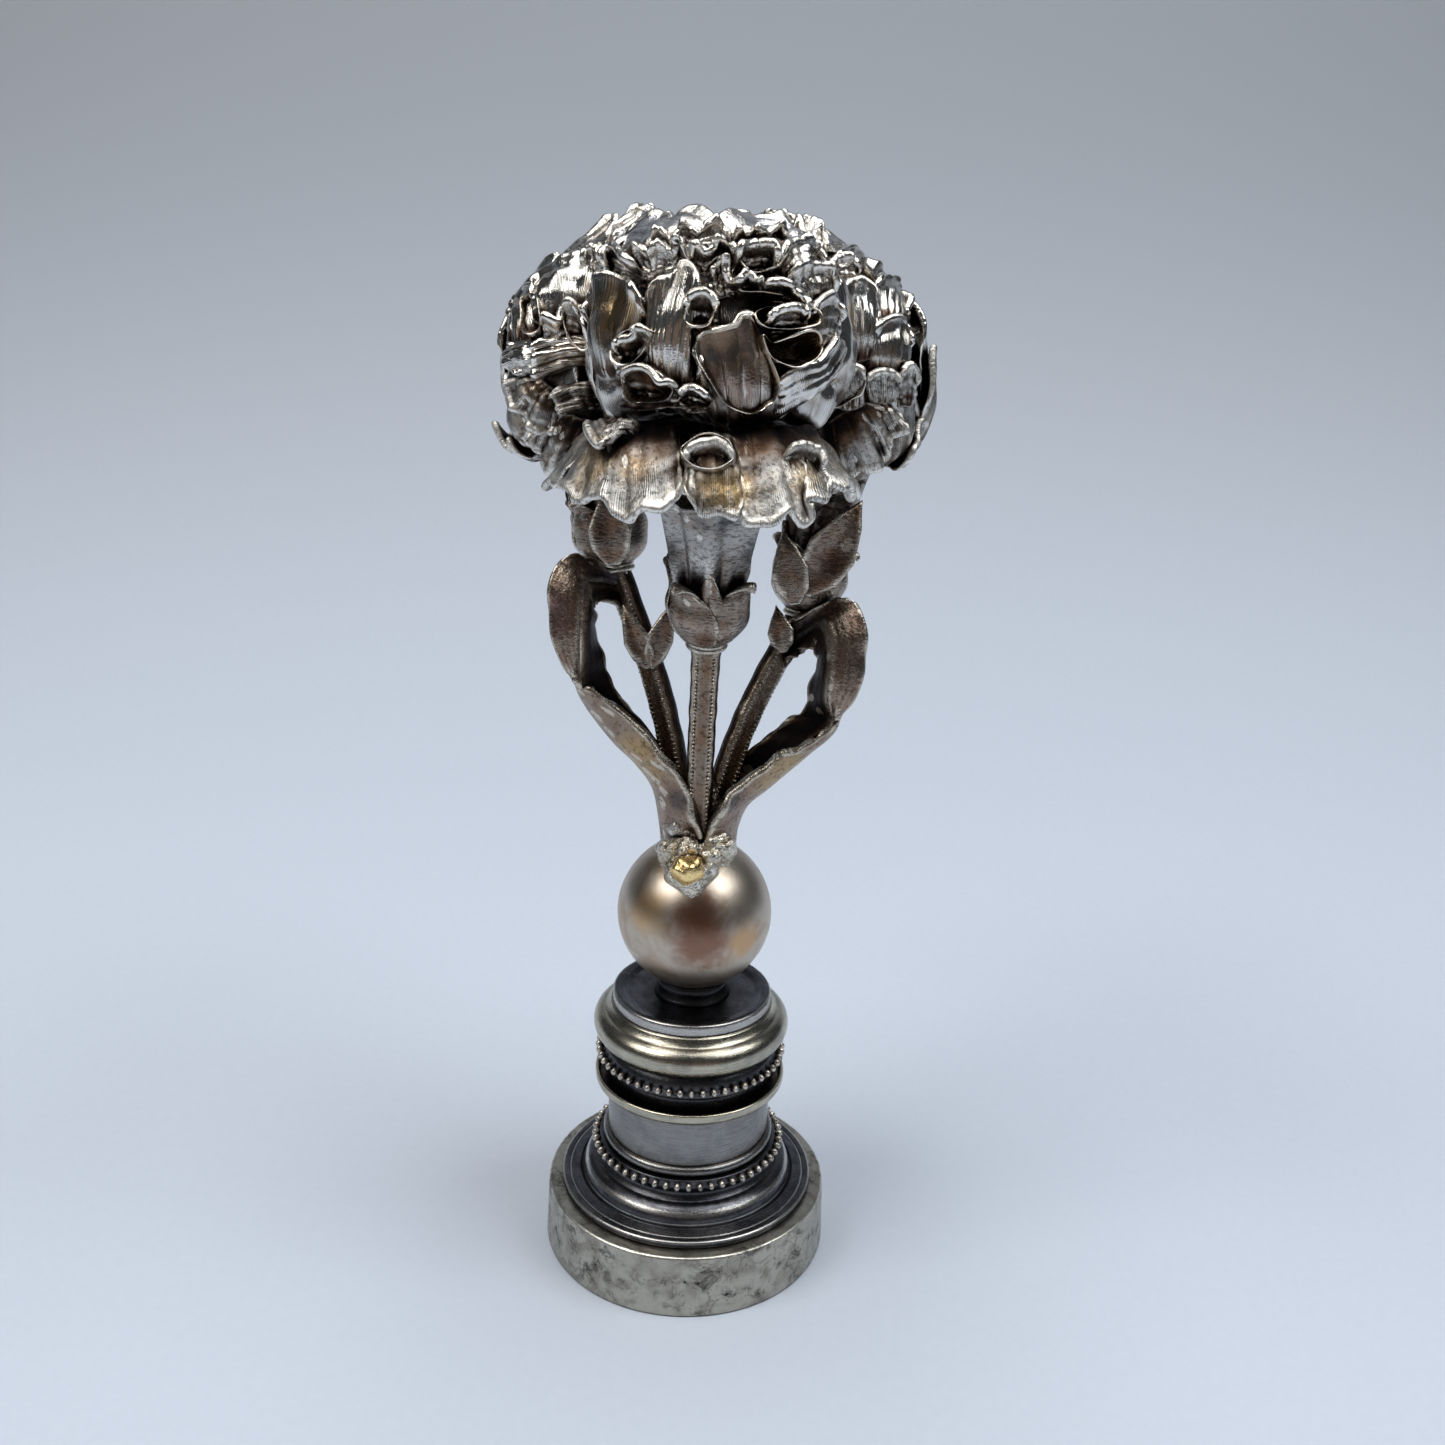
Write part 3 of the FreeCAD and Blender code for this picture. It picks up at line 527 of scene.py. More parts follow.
class Finishes:
    """The finishes of this seal, each made once."""

    def __init__(self) -> None:
        """Builds every material."""
        self.petal = Silver(
            "petal_silver", Skin.CHASED, bright=BRIGHT, toning=WARM, polish=0.15, dull=0.42,
            recess=2.4, recess_from=0.32, recess_to=0.85, edge=0.05,
            stains_and_painted_light=(
                (-6.0, -13.2, 72.6, 3.0, GOLDEN),
                (-12.0, -5.5, 69.8, 2.2, WARM),
                (1.5, -16.8, 68.6, 3.2, RUST),
                (-3.6, -15.5, 68.6, 2.2, RUST),
                (0.7, -13.5, 74.8, 1.5, GOLDEN),
                (-8.9, -4.0, 69.4, 3.0, WARM),
                (8.9, -8.0, 72.8, 2.0, GOLDEN),
                (-5.0, -13.8, 70.6, 1.8, BROWN),
                (8.0, -12.0, 69.2, 1.8, RUST),
            ),
            root=0.4,
        ).material()
        self.hollow = Silver(
            "hollow_silver", Skin.HOLLOW, bright=rgb(0.66, 0.61, 0.52),
            toning=rgb(0.58, 0.44, 0.26), dark=rgb(0.03, 0.018, 0.012), polish=0.17, dull=0.35,
            recess=1.6, recess_from=0.30, recess_to=0.80, toning_share=0.7, edge=0.04,
        ).material()
        self.satin = Silver(
            "satin_silver", Skin.STIPPLED, bright=SATIN, toning=rgb(0.33, 0.26, 0.18), polish=0.36,
            dull=0.5, recess=3.6, recess_from=0.35, recess_to=0.92, toning_share=0.75, edge=0.05,
            stains_and_painted_light=(
                (0.9, -17.6, 63.4, 2.1, GOLDEN),
                (-7.2, -14.8, 64.4, 2.4, rgb(0.50, 0.38, 0.24)),
                (-4.4, -16.6, 64.2, 1.5, WARM),
                (5.6, -16.2, 64.2, 1.6, rgb(0.50, 0.40, 0.28)),
            ),
            root=0.8,
        ).material()
        self.frill = Silver(
            "frill_silver", Skin.CAST, bright=BRIGHT, toning=WARM, polish=0.14, dull=0.4,
            recess=2.2, recess_from=0.32, recess_to=0.85, toning_share=0.4, edge=0.05,
            stains_and_painted_light=(
                # Painted highlight: two near-white patches on the top of the front head, where the
                # overhead light falls.
                (3.4, -8.0, 77.6, 4.2, rgb(0.84, 0.84, 0.86)),
                (-4.4, -8.0, 76.8, 4.0, rgb(0.78, 0.78, 0.80)),
                (2.5, -11.5, 75.9, 1.6, GOLDEN),
            ),
            root=0.5,
        ).material()
        self.leaf = Silver(
            "leaf_silver", Skin.CAST, bright=rgb(0.31, 0.24, 0.185), toning=rgb(0.22, 0.135, 0.10),
            polish=0.24, dull=0.4, recess=3.0, recess_from=0.3, recess_to=0.85, toning_share=0.85,
            edge=0.04, worn=rgb(0.66, 0.60, 0.50),
            stains_and_painted_light=(
                (-4.2, -1.0, 40.6, 3.4, rgb(0.42, 0.29, 0.15)),
                (6.0, -1.0, 39.8, 3.6, rgb(0.42, 0.30, 0.16)),
                (-1.6, -2.2, 38.0, 1.4, rgb(0.10, 0.08, 0.07)),
                (2.4, -2.2, 38.2, 1.2, rgb(0.10, 0.08, 0.07)),
                (-10.2, 0.3, 51.0, 3.0, rgb(0.27, 0.16, 0.13)),
                (10.8, 0.3, 48.0, 3.0, rgb(0.30, 0.22, 0.17)),
                # Painted shade: blue-black patches under the curled leaf tips.
                (-7.0, 2.4, 53.0, 2.8, rgb(0.03, 0.03, 0.045)),
                (7.2, 2.6, 49.8, 3.2, rgb(0.035, 0.035, 0.05)),
            ),
            selvage=9.0,
        ).material()
        self.stem = Silver(
            "stem_silver", Skin.CAST, bright=rgb(0.24, 0.185, 0.14), toning=BROWN, polish=0.26,
            dull=0.45, recess=2.0, recess_from=0.4, recess_to=0.9, toning_share=0.85, edge=0.05,
            worn=rgb(0.62, 0.57, 0.48), flank=0.85,
        ).material()
        self.stitch = Silver(
            "stitch_silver", Skin.CAST, bright=rgb(0.62, 0.56, 0.47), toning=rgb(0.4, 0.3, 0.22),
            polish=0.24, dull=0.4, recess=0.4, recess_from=0.2, recess_to=0.7, toning_share=0.6,
        ).material()
        self.neck = Silver(
            "neck_silver", Skin.MELTED, bright=rgb(0.38, 0.34, 0.29), toning=rgb(0.26, 0.19, 0.12),
            polish=0.24, dull=0.42, recess=1.5, recess_from=0.4, recess_to=0.9, toning_share=0.7,
            edge=0.04,
        ).material()
        self.cup = Silver(
            "cup_silver", Skin.ETCHED, bright=rgb(0.27, 0.22, 0.18), toning=BROWN, polish=0.22,
            dull=0.42, recess=1.6, recess_from=0.4, recess_to=0.92, toning_share=0.85, edge=0.05,
            worn=rgb(0.70, 0.65, 0.56),
            stains_and_painted_light=(
                (0.8, -9.0, 52.4, 1.8, rgb(0.16, 0.08, 0.05)),
                (2.6, -7.6, 52.6, 1.3, rgb(0.03, 0.03, 0.035)),
                (-5.6, 1.8, 56.6, 1.8, rgb(0.05, 0.04, 0.04)),
                (-7.6, 1.4, 57.4, 1.6, rgb(0.18, 0.10, 0.07)),
                (8.6, 2.0, 55.4, 2.0, rgb(0.12, 0.06, 0.045)),
            ),
        ).material()
        self.calyx = Silver(
            "calyx_silver", Skin.ETCHED, bright=rgb(0.40, 0.385, 0.365),
            # The long recess reach darkens the tube under its blossom, partly oxide and partly
            # painted shade.
            toning=rgb(0.26, 0.21, 0.17), polish=0.26, dull=0.45, recess=4.0, recess_from=0.35,
            recess_to=0.9, toning_share=0.7, edge=0.16,
            stains_and_painted_light=(
                # Painted shade on both flanks of the tube and just under its blossom; painted
                # highlight at its middle left.
                (3.6, -8.6, 57.6, 2.1, rgb(0.04, 0.04, 0.045)),
                (-2.9, -8.6, 57.6, 1.7, rgb(0.05, 0.045, 0.045)),
                (0.6, -10.2, 60.6, 1.8, rgb(0.05, 0.05, 0.055)),
                (-0.5, -10.4, 57.2, 1.5, rgb(0.72, 0.70, 0.66)),
            ),
        ).material()
        # Darker finish for the side calyx tubes: painted shade, so that they read as in shadow.
        self.shaded_calyx = Silver(
            "shaded_calyx_silver", Skin.CRACKED, bright=rgb(0.20, 0.17, 0.15),
            toning=rgb(0.13, 0.08, 0.06), polish=0.3, dull=0.45, recess=3.0, recess_from=0.3,
            recess_to=0.85, toning_share=0.8, edge=0.05, worn=rgb(0.5, 0.46, 0.4),
        ).material()
        self.turned = Silver(
            "turned_silver", Skin.TURNED, bright=rgb(0.31, 0.305, 0.295),
            toning=rgb(0.22, 0.215, 0.21), polish=0.26, dull=0.4, recess=2.4, recess_from=0.35,
            recess_to=0.9, toning_share=0.7,
        ).material()
        self.tarnished = Silver(
            "tarnished_silver", Skin.TURNED, bright=rgb(0.13, 0.13, 0.14),
            toning=rgb(0.06, 0.062, 0.072), polish=0.26, dull=0.42, recess=3.0, recess_from=0.2,
            recess_to=0.8, toning_share=0.8, halo=rgb(0.035, 0.035, 0.04),
            worn=rgb(0.56, 0.54, 0.51),
            rims=(
                (9.92, 5.70, 0.17), (9.32, 5.74, 0.08), (8.30, 6.02, 0.07), (6.06, 21.72, 0.15),
                (6.1, 21.25, 0.42), (8.05, 6.75, 0.30),
            ),
        ).material()
        self.drum = Silver(
            "drum_silver", Skin.PITTED, bright=rgb(0.48, 0.455, 0.39),
            toning=rgb(0.30, 0.275, 0.23), dark=rgb(0.04, 0.035, 0.03), polish=0.3, dull=0.46,
            recess=1.0, recess_from=0.1, recess_to=0.5, toning_share=0.8,
            rims=((10.95, 5.05, 0.16),),
            worn=rgb(0.74, 0.72, 0.64),
        ).material()
        self.torus = Silver(
            "torus_silver", Skin.TURNED, bright=rgb(0.56, 0.52, 0.42), toning=rgb(0.38, 0.36, 0.30),
            polish=0.22, dull=0.36, recess=1.6, recess_from=0.3, recess_to=0.85, toning_share=0.85,
            rims=((7.35, 14.95, 0.16),),
            worn=rgb(0.72, 0.66, 0.50),
        ).material()
        self.bead = Silver(
            "bead_silver", Skin.CAST, bright=rgb(0.66, 0.61, 0.54), toning=rgb(0.5, 0.42, 0.33),
            polish=0.28, dull=0.42, recess=0.45, recess_from=0.25, recess_to=0.65, toning_share=0.4,
        ).material()
        self.ball = Silver(
            "ball_silver", Skin.SATIN, bright=rgb(0.56, 0.49, 0.41), toning=rgb(0.42, 0.31, 0.22),
            dark=rgb(0.10, 0.07, 0.06), polish=0.36, dull=0.46, recess=2.2, recess_from=0.1,
            recess_to=0.7, toning_share=0.8,
            stains_and_painted_light=(
                # Painted reflection: golden highlights at left and right and a dark warm band
                # across the middle front.
                (-3.6, -4.2, 30.2, 2.3, rgb(0.66, 0.45, 0.25)),
                (0.4, -5.4, 30.8, 2.2, rgb(0.26, 0.14, 0.09)),
                (0.6, -5.8, 28.6, 3.2, rgb(0.24, 0.12, 0.08)),
                (3.6, -4.4, 28.0, 1.8, rgb(0.56, 0.36, 0.20)),
            ),
        ).material()
        self.lump = Silver(
            "solder_lump", Skin.MELTED, bright=rgb(0.62, 0.57, 0.46), toning=rgb(0.40, 0.33, 0.22),
            polish=0.2, dull=0.35, recess=1.2, recess_from=0.25, recess_to=0.75, toning_share=0.6,
            edge=0.05,
        ).material()
        self.gold = Silver(
            "rubbed_gold", Skin.CAST, bright=rgb(1.0, 0.76, 0.36), toning=rgb(0.95, 0.66, 0.28),
            dark=rgb(0.25, 0.13, 0.04), polish=0.16, dull=0.3, recess=0.3, recess_from=0.1,
            recess_to=0.4, toning_share=0.3, halo=rgb(0.4, 0.24, 0.08),
        ).material()


def grid_faces(rows: int, columns: int, ring: bool = False) -> np.ndarray:
    """Quads of a grid of points, in rows.

    Args:
        rows: Number of rows.
        columns: Points in a row.
        ring: Whether each row closes on itself.

    Returns:
        Four indices for each quad.
    """
    span = columns if ring else columns - 1
    row, column = np.meshgrid(np.arange(rows - 1), np.arange(span), indexing="ij")
    after = (column + 1) % columns
    low, high = row * columns, (row + 1) * columns
    return np.stack([low + column, low + after, high + after, high + column], -1).reshape(-1, 4)


def capped_faces(rows: int, columns: int) -> np.ndarray:
    """Quads of closed rings of points whose two ends are filled.

    Args:
        rows: Number of rings.
        columns: Points in a ring.

    Returns:
        Four indices for each quad.
    """
    cap = np.array([[k, k + 1, columns - 2 - k, columns - 1 - k] for k in range(columns // 2 - 1)])
    faces = grid_faces(rows, columns, ring=True)
    return np.concatenate([faces, cap[:, ::-1], cap + (rows - 1) * columns])


def even_weave(rows: int, along: float, columns: int, around: float) -> np.ndarray:
    """Weave coordinates that rise evenly over a grid of points.

    Args:
        rows: Number of rows.
        along: What the first coordinate reaches at the last row.
        columns: Points in a row.
        around: What the second coordinate reaches at the last column.

    Returns:
        Two coordinates for each point.
    """
    spans = np.linspace(0, along, rows), np.linspace(0, around, columns)
    return np.stack(np.meshgrid(*spans, indexing="ij"), -1).reshape(-1, 2)


@dataclass
class Cloud:
    """Points, faces and weave coordinates that gather into one mesh."""

    points: list[np.ndarray] = field(default_factory=list)
    faces: list[np.ndarray] = field(default_factory=list)
    weave: list[np.ndarray] = field(default_factory=list)
    count: int = 0

    def take(self, points: np.ndarray, faces: np.ndarray, weave: np.ndarray | None = None) -> None:
        """Adds a closed form, its faces turned outwards.

        Args:
            points: Positions in millimetres.
            faces: Quads by index.
            weave: Two coordinates for each point.
        """
        corners = points[faces]
        centre = points.mean(0)
        first, second, third, fourth = (corners[:, k] - centre for k in range(4))
        volume = np.einsum("ij,ij->i", first, np.cross(second, third)).sum()
        volume += np.einsum("ij,ij->i", first, np.cross(third, fourth)).sum()
        if volume < 0:
            faces = faces[:, ::-1]
        self.points.append(points)
        self.faces.append(faces + self.count)
        self.weave.append(np.zeros((len(points), 2)) if weave is None else weave)
        self.count += len(points)

    def piece(self, name: str, material: bpy.types.Material) -> bpy.types.Object:
        """Makes the gathered mesh an object.

        Args:
            name: Name of the piece.
            material: Its finish.

        Returns:
            The object, at the origin.
        """
        mesh = bpy.data.meshes.new(name)
        points = np.concatenate(self.points) * MM
        faces = np.concatenate(self.faces)
        mesh.vertices.add(len(points))
        mesh.vertices.foreach_set("co", points.ravel())
        flat = faces.ravel()
        mesh.loops.add(len(flat))
        mesh.loops.foreach_set("vertex_index", flat)
        mesh.polygons.add(len(faces))
        mesh.polygons.foreach_set("loop_start", np.arange(0, len(flat), 4))
        mesh.update(calc_edges=True)
        mesh.validate()
        weave = mesh.uv_layers.new(name="weave")
        weave.data.foreach_set("uv", np.concatenate(self.weave)[flat].ravel())
        mesh.shade_smooth()
        mesh.materials.append(material)
        piece = bpy.data.objects.new(name, mesh)
        bpy.context.scene.collection.objects.link(piece)
        return piece


def settle(piece: bpy.types.Object, slot: str, *nodes: str) -> bpy.types.Object:
    """Reports a finished piece to the frame.

    Args:
        piece: The piece.
        slot: Not used.
        nodes: The CAD nodes that it stands for.

    Returns:
        The piece.
    """
    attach(piece, "root")
    if nodes:
        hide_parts(*nodes)
    log.info("%s: %d faces", piece.name, len(piece.data.polygons))
    return piece


def rounded(corners: Sequence[Corner], steps: int = 5) -> np.ndarray:
    """Outline with its corners rounded.

    Args:
        corners: Radius, height and rounding of each corner.
        steps: Points on each rounding.

    Returns:
        Points of (radius, height).
    """
    outline: list[np.ndarray] = []
    for index, (radius, height, rounding) in enumerate(corners):
        here = np.array([radius, height])
        if rounding <= 0 or index in (0, len(corners) - 1):
            outline.append(here)
            continue
        before = np.array(corners[index - 1][:2]) - here
        after = np.array(corners[index + 1][:2]) - here
        reach = min(rounding, np.linalg.norm(before) * 0.49, np.linalg.norm(after) * 0.49)
        start = here + before / np.linalg.norm(before) * reach
        end = here + after / np.linalg.norm(after) * reach
        for share in np.linspace(0, 1, steps):
            outline.append(
                start * (1 - share) ** 2 + here * 2 * share * (1 - share) + end * share**2
            )
    return np.array(outline)


@dataclass
class Lathe:
    """Turns outlines about the axis."""

    segments: int = 256
    wobble: float = 0.0
    seed: int = 1
    corner_steps: int = 5

    def solid(self, *corners: Corner) -> Cloud:
        """Solid that an outline of rounded corners sweeps."""
        return self.turn(rounded(corners, self.corner_steps))

    def turn(self, outline: np.ndarray) -> Cloud:
        """Solid that a closed outline sweeps.

        Args:
            outline: Points of (radius, height) from the axis round to the axis.

        Returns:
            The mesh in the making.
        """
        radii = np.maximum(outline[:, 0], 1e-4)
        angles = np.linspace(0, math.tau, self.segments, endpoint=False)
        chance = np.random.default_rng(self.seed)
        drift = np.zeros_like(angles)
        for wave in range(2, 9):
            drift += np.sin(wave * angles + chance.uniform(0, math.tau)) / wave
        swell = 1 + self.wobble * drift[None, :] / radii.max()
        around = radii[:, None] * swell
        points = np.stack(
            [
                around * np.cos(angles),
                around * np.sin(angles),
                np.repeat(outline[:, 1:2], self.segments, 1),
            ],
            -1,
        )
        cloud = Cloud()
        cloud.take(points.reshape(-1, 3), grid_faces(len(outline), self.segments, ring=True))
        return cloud


@dataclass(frozen=True)
class Foot:
    """Seal matrix, moulded foot with its beads, and the column."""

    matrix_radius: float = 11.2
    matrix_top_radius: float = 11.0
    matrix_height: float = 5.12
    foot_radius: float = 9.95
    rim_top: float = 5.72
    flat_top: float = 5.89
    round_radius: float = 8.3
    waist_radius: float = 7.1
    round_top: float = 7.19
    foot_top: float = 8.34
    cove_depth: float = 0.36
    bead_seat: float = 6.98
    bead_circle: float = 7.32
    bead_rise: float = 0.33
    bead_radius: float = 0.3
    bead_count: int = 53
    beads_top: float = 9.0
    base_ring_radius: float = 6.73
    base_ring_top: float = 9.84
    column_radius: float = 6.35
    column_top: float = 13.99

    def matrix(self) -> Cloud:
        """Drum with softened edges and a bare face below.

        Returns:
            The mesh in the making.
        """
        return Lathe(wobble=0.015, seed=3).solid(
            (0.0, 0.0, 0.0),
            (self.matrix_radius * 0.6, 0.0, 0.0),
            (self.matrix_radius, 0.0, 0.22),
            (self.matrix_top_radius, self.matrix_height, 0.28),
            (self.foot_radius, self.matrix_height, 0.0),
            (0.0, self.matrix_height, 0.0),
        )

    def moulding(self) -> Cloud:
        """Rim, flat with its groove, quarter round and cove.

        Returns:
            The mesh in the making.
        """
        quarter = [
            (
                self.waist_radius + (self.round_radius - self.waist_radius) * math.cos(angle),
                self.flat_top + (self.round_top - self.flat_top) * math.sin(angle),
                0.0,
            )
            for angle in np.linspace(0.12, math.pi / 2, 12)
        ]
        cove = [
            (
                self.waist_radius - self.cove_depth * math.sin(angle),
                self.round_top + (self.foot_top - self.round_top) * angle / math.pi,
                0.0,
            )
            for angle in np.linspace(0.2, math.pi, 12)
        ]
        return Lathe(wobble=0.01, seed=5).solid(
            (0.0, self.matrix_height, 0.0),
            (self.foot_radius - 0.12, self.matrix_height, 0.0),
            (self.foot_radius, self.matrix_height + 0.14, 0.1),
            (self.foot_radius, self.rim_top, 0.3),
            (self.foot_radius - 0.5, self.rim_top + 0.02, 0.14),
            (self.foot_radius - 0.56, self.rim_top - 0.04, 0.05),
            (self.foot_radius - 0.66, self.rim_top, 0.05),
            (self.round_radius + 0.24, self.flat_top, 0.05),
            (self.round_radius + 0.12, self.flat_top - 0.13, 0.06),
            *quarter,
            *cove,
            (0.0, self.foot_top, 0.0),
        )

    def bead_seat_ring(self) -> Cloud:
        """Plain ring behind the beads.

        Returns:
            The mesh in the making.
        """
        return Lathe().solid(
            (0.0, self.foot_top, 0.0),
            (self.bead_seat + 0.12, self.foot_top, 0.1),
            (self.bead_seat, self.beads_top, 0.1),
            (0.0, self.beads_top, 0.0),
        )

    def base_ring(self) -> Cloud:
        """Half-round ring at the foot of the column.

        Returns:
            The mesh in the making.
        """
        middle = (self.beads_top + self.base_ring_top) / 2
        half = (self.base_ring_top - self.beads_top) / 2
        bulge = [
            (self.base_ring_radius - half + half * math.cos(angle), middle + half * math.sin(angle))
            for angle in np.linspace(-math.pi / 2, math.pi / 2, 15)
        ]
        return Lathe().turn(
            np.array([(0.0, self.beads_top)] + bulge + [(0.0, self.base_ring_top)])
        )

    def column(self) -> Cloud:
        """Plain drum of the column.

        Returns:
            The mesh in the making.
        """
        return Lathe(wobble=0.01, seed=8).solid(
            (0.0, self.base_ring_top, 0.0),
            (self.column_radius - 0.03, self.base_ring_top, 0.05),
            (self.column_radius, self.column_top, 0.05),
            (0.0, self.column_top, 0.0),
        )

    def build(self, finishes: Finishes) -> None:
        """Makes and reports the pieces of the foot.

        Args:
            finishes: The seal's finishes.
        """
        settle(self.matrix().piece("drum_of_seal", finishes.drum), "drum_silver", "seal_matrix")
        moulding = self.moulding().piece("moulded_foot", finishes.tarnished)
        settle(moulding, "turned_silver", "foot_moulding")
        settle(self.bead_seat_ring().piece("foot_bead_seat", finishes.tarnished), "turned_silver")
        beads = BeadRow(
            "foot_beads",
            self.bead_circle,
            self.foot_top + self.bead_rise,
            self.bead_count,
            self.bead_radius,
            11,
        )
        settle(beads.build(finishes.bead), "turned_silver", "foot_bead_ring")
        base_ring = self.base_ring().piece("base_ring", finishes.turned)
        settle(base_ring, "turned_silver", "column_base_ring")
        settle(self.column().piece("plain_column", finishes.turned), "turned_silver", "column")


class Growth:
    """Geometry Nodes tree that sets a small form on points and grows one piece."""

    def __init__(self, name: str, numbers: Sequence[str], counts: Sequence[str] = ()) -> None:
        """Makes a tree with named inputs.

        Args:
            name: Name of the piece.
            numbers: Names of its inputs that are numbers.
            counts: Names of its inputs that are counts.
        """
        self.name = name
        self.tree = bpy.data.node_groups.new(name + "_tree", "GeometryNodeTree")
        kinds = [("Geometry", "Geometry"), *((label, "Float") for label in numbers)]
        for label, kind in kinds + [(label, "Int") for label in counts]:
            self.tree.interface.new_socket(
                name=label, in_out="INPUT", socket_type="NodeSocket" + kind
            )
        self.tree.interface.new_socket(
            name="Geometry", in_out="OUTPUT", socket_type="NodeSocketGeometry"
        )
        self.source = self.node("NodeGroupInput").outputs

    def node(
        self, kind: str, inputs: dict[Any, Any] | None = None, **settings: Any
    ) -> bpy.types.Node:
        """Adds a node.

        Args:
            kind: Type of the node.
            inputs: Values or links of its sockets by name or place.
            settings: Properties of the node.

        Returns:
            The new node.
        """
        node = self.tree.nodes.new(kind)
        for key, value in settings.items():
            setattr(node, key, value)
        for key, value in (inputs or {}).items():
            if isinstance(value, bpy.types.NodeSocket):
                self.tree.links.new(value, node.inputs[key])
            else:
                node.inputs[key].default_value = value
        return node

    def scatter(
        self,
        points: bpy.types.NodeSocket,
        form: bpy.types.NodeSocket,
        rotation: bpy.types.NodeSocket,
        stretch: tuple[Corner, Corner],
        seed: int,
        material: bpy.types.Material,
    ) -> None:
        """Sets the form on every point, smooth and in its finish, as the tree's result.

        Args:
            points: Where the forms stand.
            form: Mesh of one form.
            rotation: How each is turned.
            stretch: Least and greatest scale by axis.
            seed: Seed of the stretch.
            material: Finish of the forms.
        """
        chance = self.node(
            "FunctionNodeRandomValue",
            {0: stretch[0], 1: stretch[1], "Seed": seed},
            data_type="FLOAT_VECTOR",
        )
        link = self.node(
            "GeometryNodeInstanceOnPoints",
            {
                "Points": points,
                "Instance": form,
                "Rotation": rotation,
                "Scale": chance.outputs[0],
            },
        )
        for kind, extra in (
            ("GeometryNodeRealizeInstances", {}),
            ("GeometryNodeSetShadeSmooth", {}),
            ("GeometryNodeSetMaterial", {"Material": material}),
            ("NodeGroupOutput", {}),
        ):
            link = self.node(kind, {"Geometry": link.outputs[0], **extra})

    def piece(self, start: bpy.types.Mesh, sizes: dict[str, float | int]) -> bpy.types.Object:
        """Runs the tree and keeps its result as a plain mesh.

        Args:
            start: Mesh that the tree starts from.
            sizes: Values of its named inputs.

        Returns:
            The piece, with no modifier left.
        """
        piece = bpy.data.objects.new(self.name, start)
        bpy.context.scene.collection.objects.link(piece)
        modifier = piece.modifiers.new("growth", "NODES")
        modifier.node_group = self.tree
        for item in self.tree.interface.items_tree:
            if item.item_type == "SOCKET" and item.in_out == "INPUT" and item.name in sizes:
                modifier[item.identifier] = sizes[item.name]
        graph = bpy.context.evaluated_depsgraph_get()
        mesh = bpy.data.meshes.new_from_object(piece.evaluated_get(graph))
        piece.modifiers.clear()
        piece.data = mesh
        mesh.name = self.name
        return piece


@dataclass(frozen=True)
class BeadRow:
    """Row of small rounded pegs round a ring, made by Geometry Nodes."""

    name: str
    radius: float
    height: float
    count: int
    bead: float
    seed: int
    stretch: tuple[Corner, Corner] = ((1.0, 0.72, 1.0), (1.12, 0.86, 1.16))

    def build(self, material: bpy.types.Material) -> bpy.types.Object:
        """Sets the pegs on a circle, each turned outwards.

        Args:
            material: Finish of the pegs.

        Returns:
            The piece.
        """
        growth = Growth(self.name, ("Ring Radius", "Ring Height", "Bead Radius"), ("Bead Count",))
        source = growth.source
        circle = growth.node(
            "GeometryNodeMeshCircle",
            {"Vertices": source["Bead Count"], "Radius": source["Ring Radius"]},
        )
        upward = growth.node("ShaderNodeCombineXYZ", {"Z": source["Ring Height"]})
        ring = growth.node(
            "GeometryNodeTransform",
            {"Geometry": circle.outputs["Mesh"], "Translation": upward.outputs["Vector"]},
        )
        peg = growth.node(
            "GeometryNodeMeshUVSphere",
            {"Segments": 14, "Rings": 9, "Radius": source["Bead Radius"]},
        )
        place = growth.node("GeometryNodeInputPosition")
        outward = growth.node(
            "ShaderNodeVectorMath",
            {0: place.outputs["Position"], 1: (1.0, 1.0, 0.0)},
            operation="MULTIPLY",
        )
        align = growth.node(
            "FunctionNodeAlignRotationToVector",
            {"Vector": outward.outputs["Vector"]},
            axis="X",
            pivot_axis="Z",
        )
        growth.scatter(
            ring.outputs["Geometry"],
            peg.outputs["Mesh"],
            align.outputs["Rotation"],
            self.stretch,
            self.seed,
            material,
        )
        sizes = {
            "Ring Radius": self.radius * MM,
            "Ring Height": self.height * MM,
            "Bead Radius": self.bead * MM,
            "Bead Count": self.count,
        }
        return growth.piece(bpy.data.meshes.new(self.name), sizes)


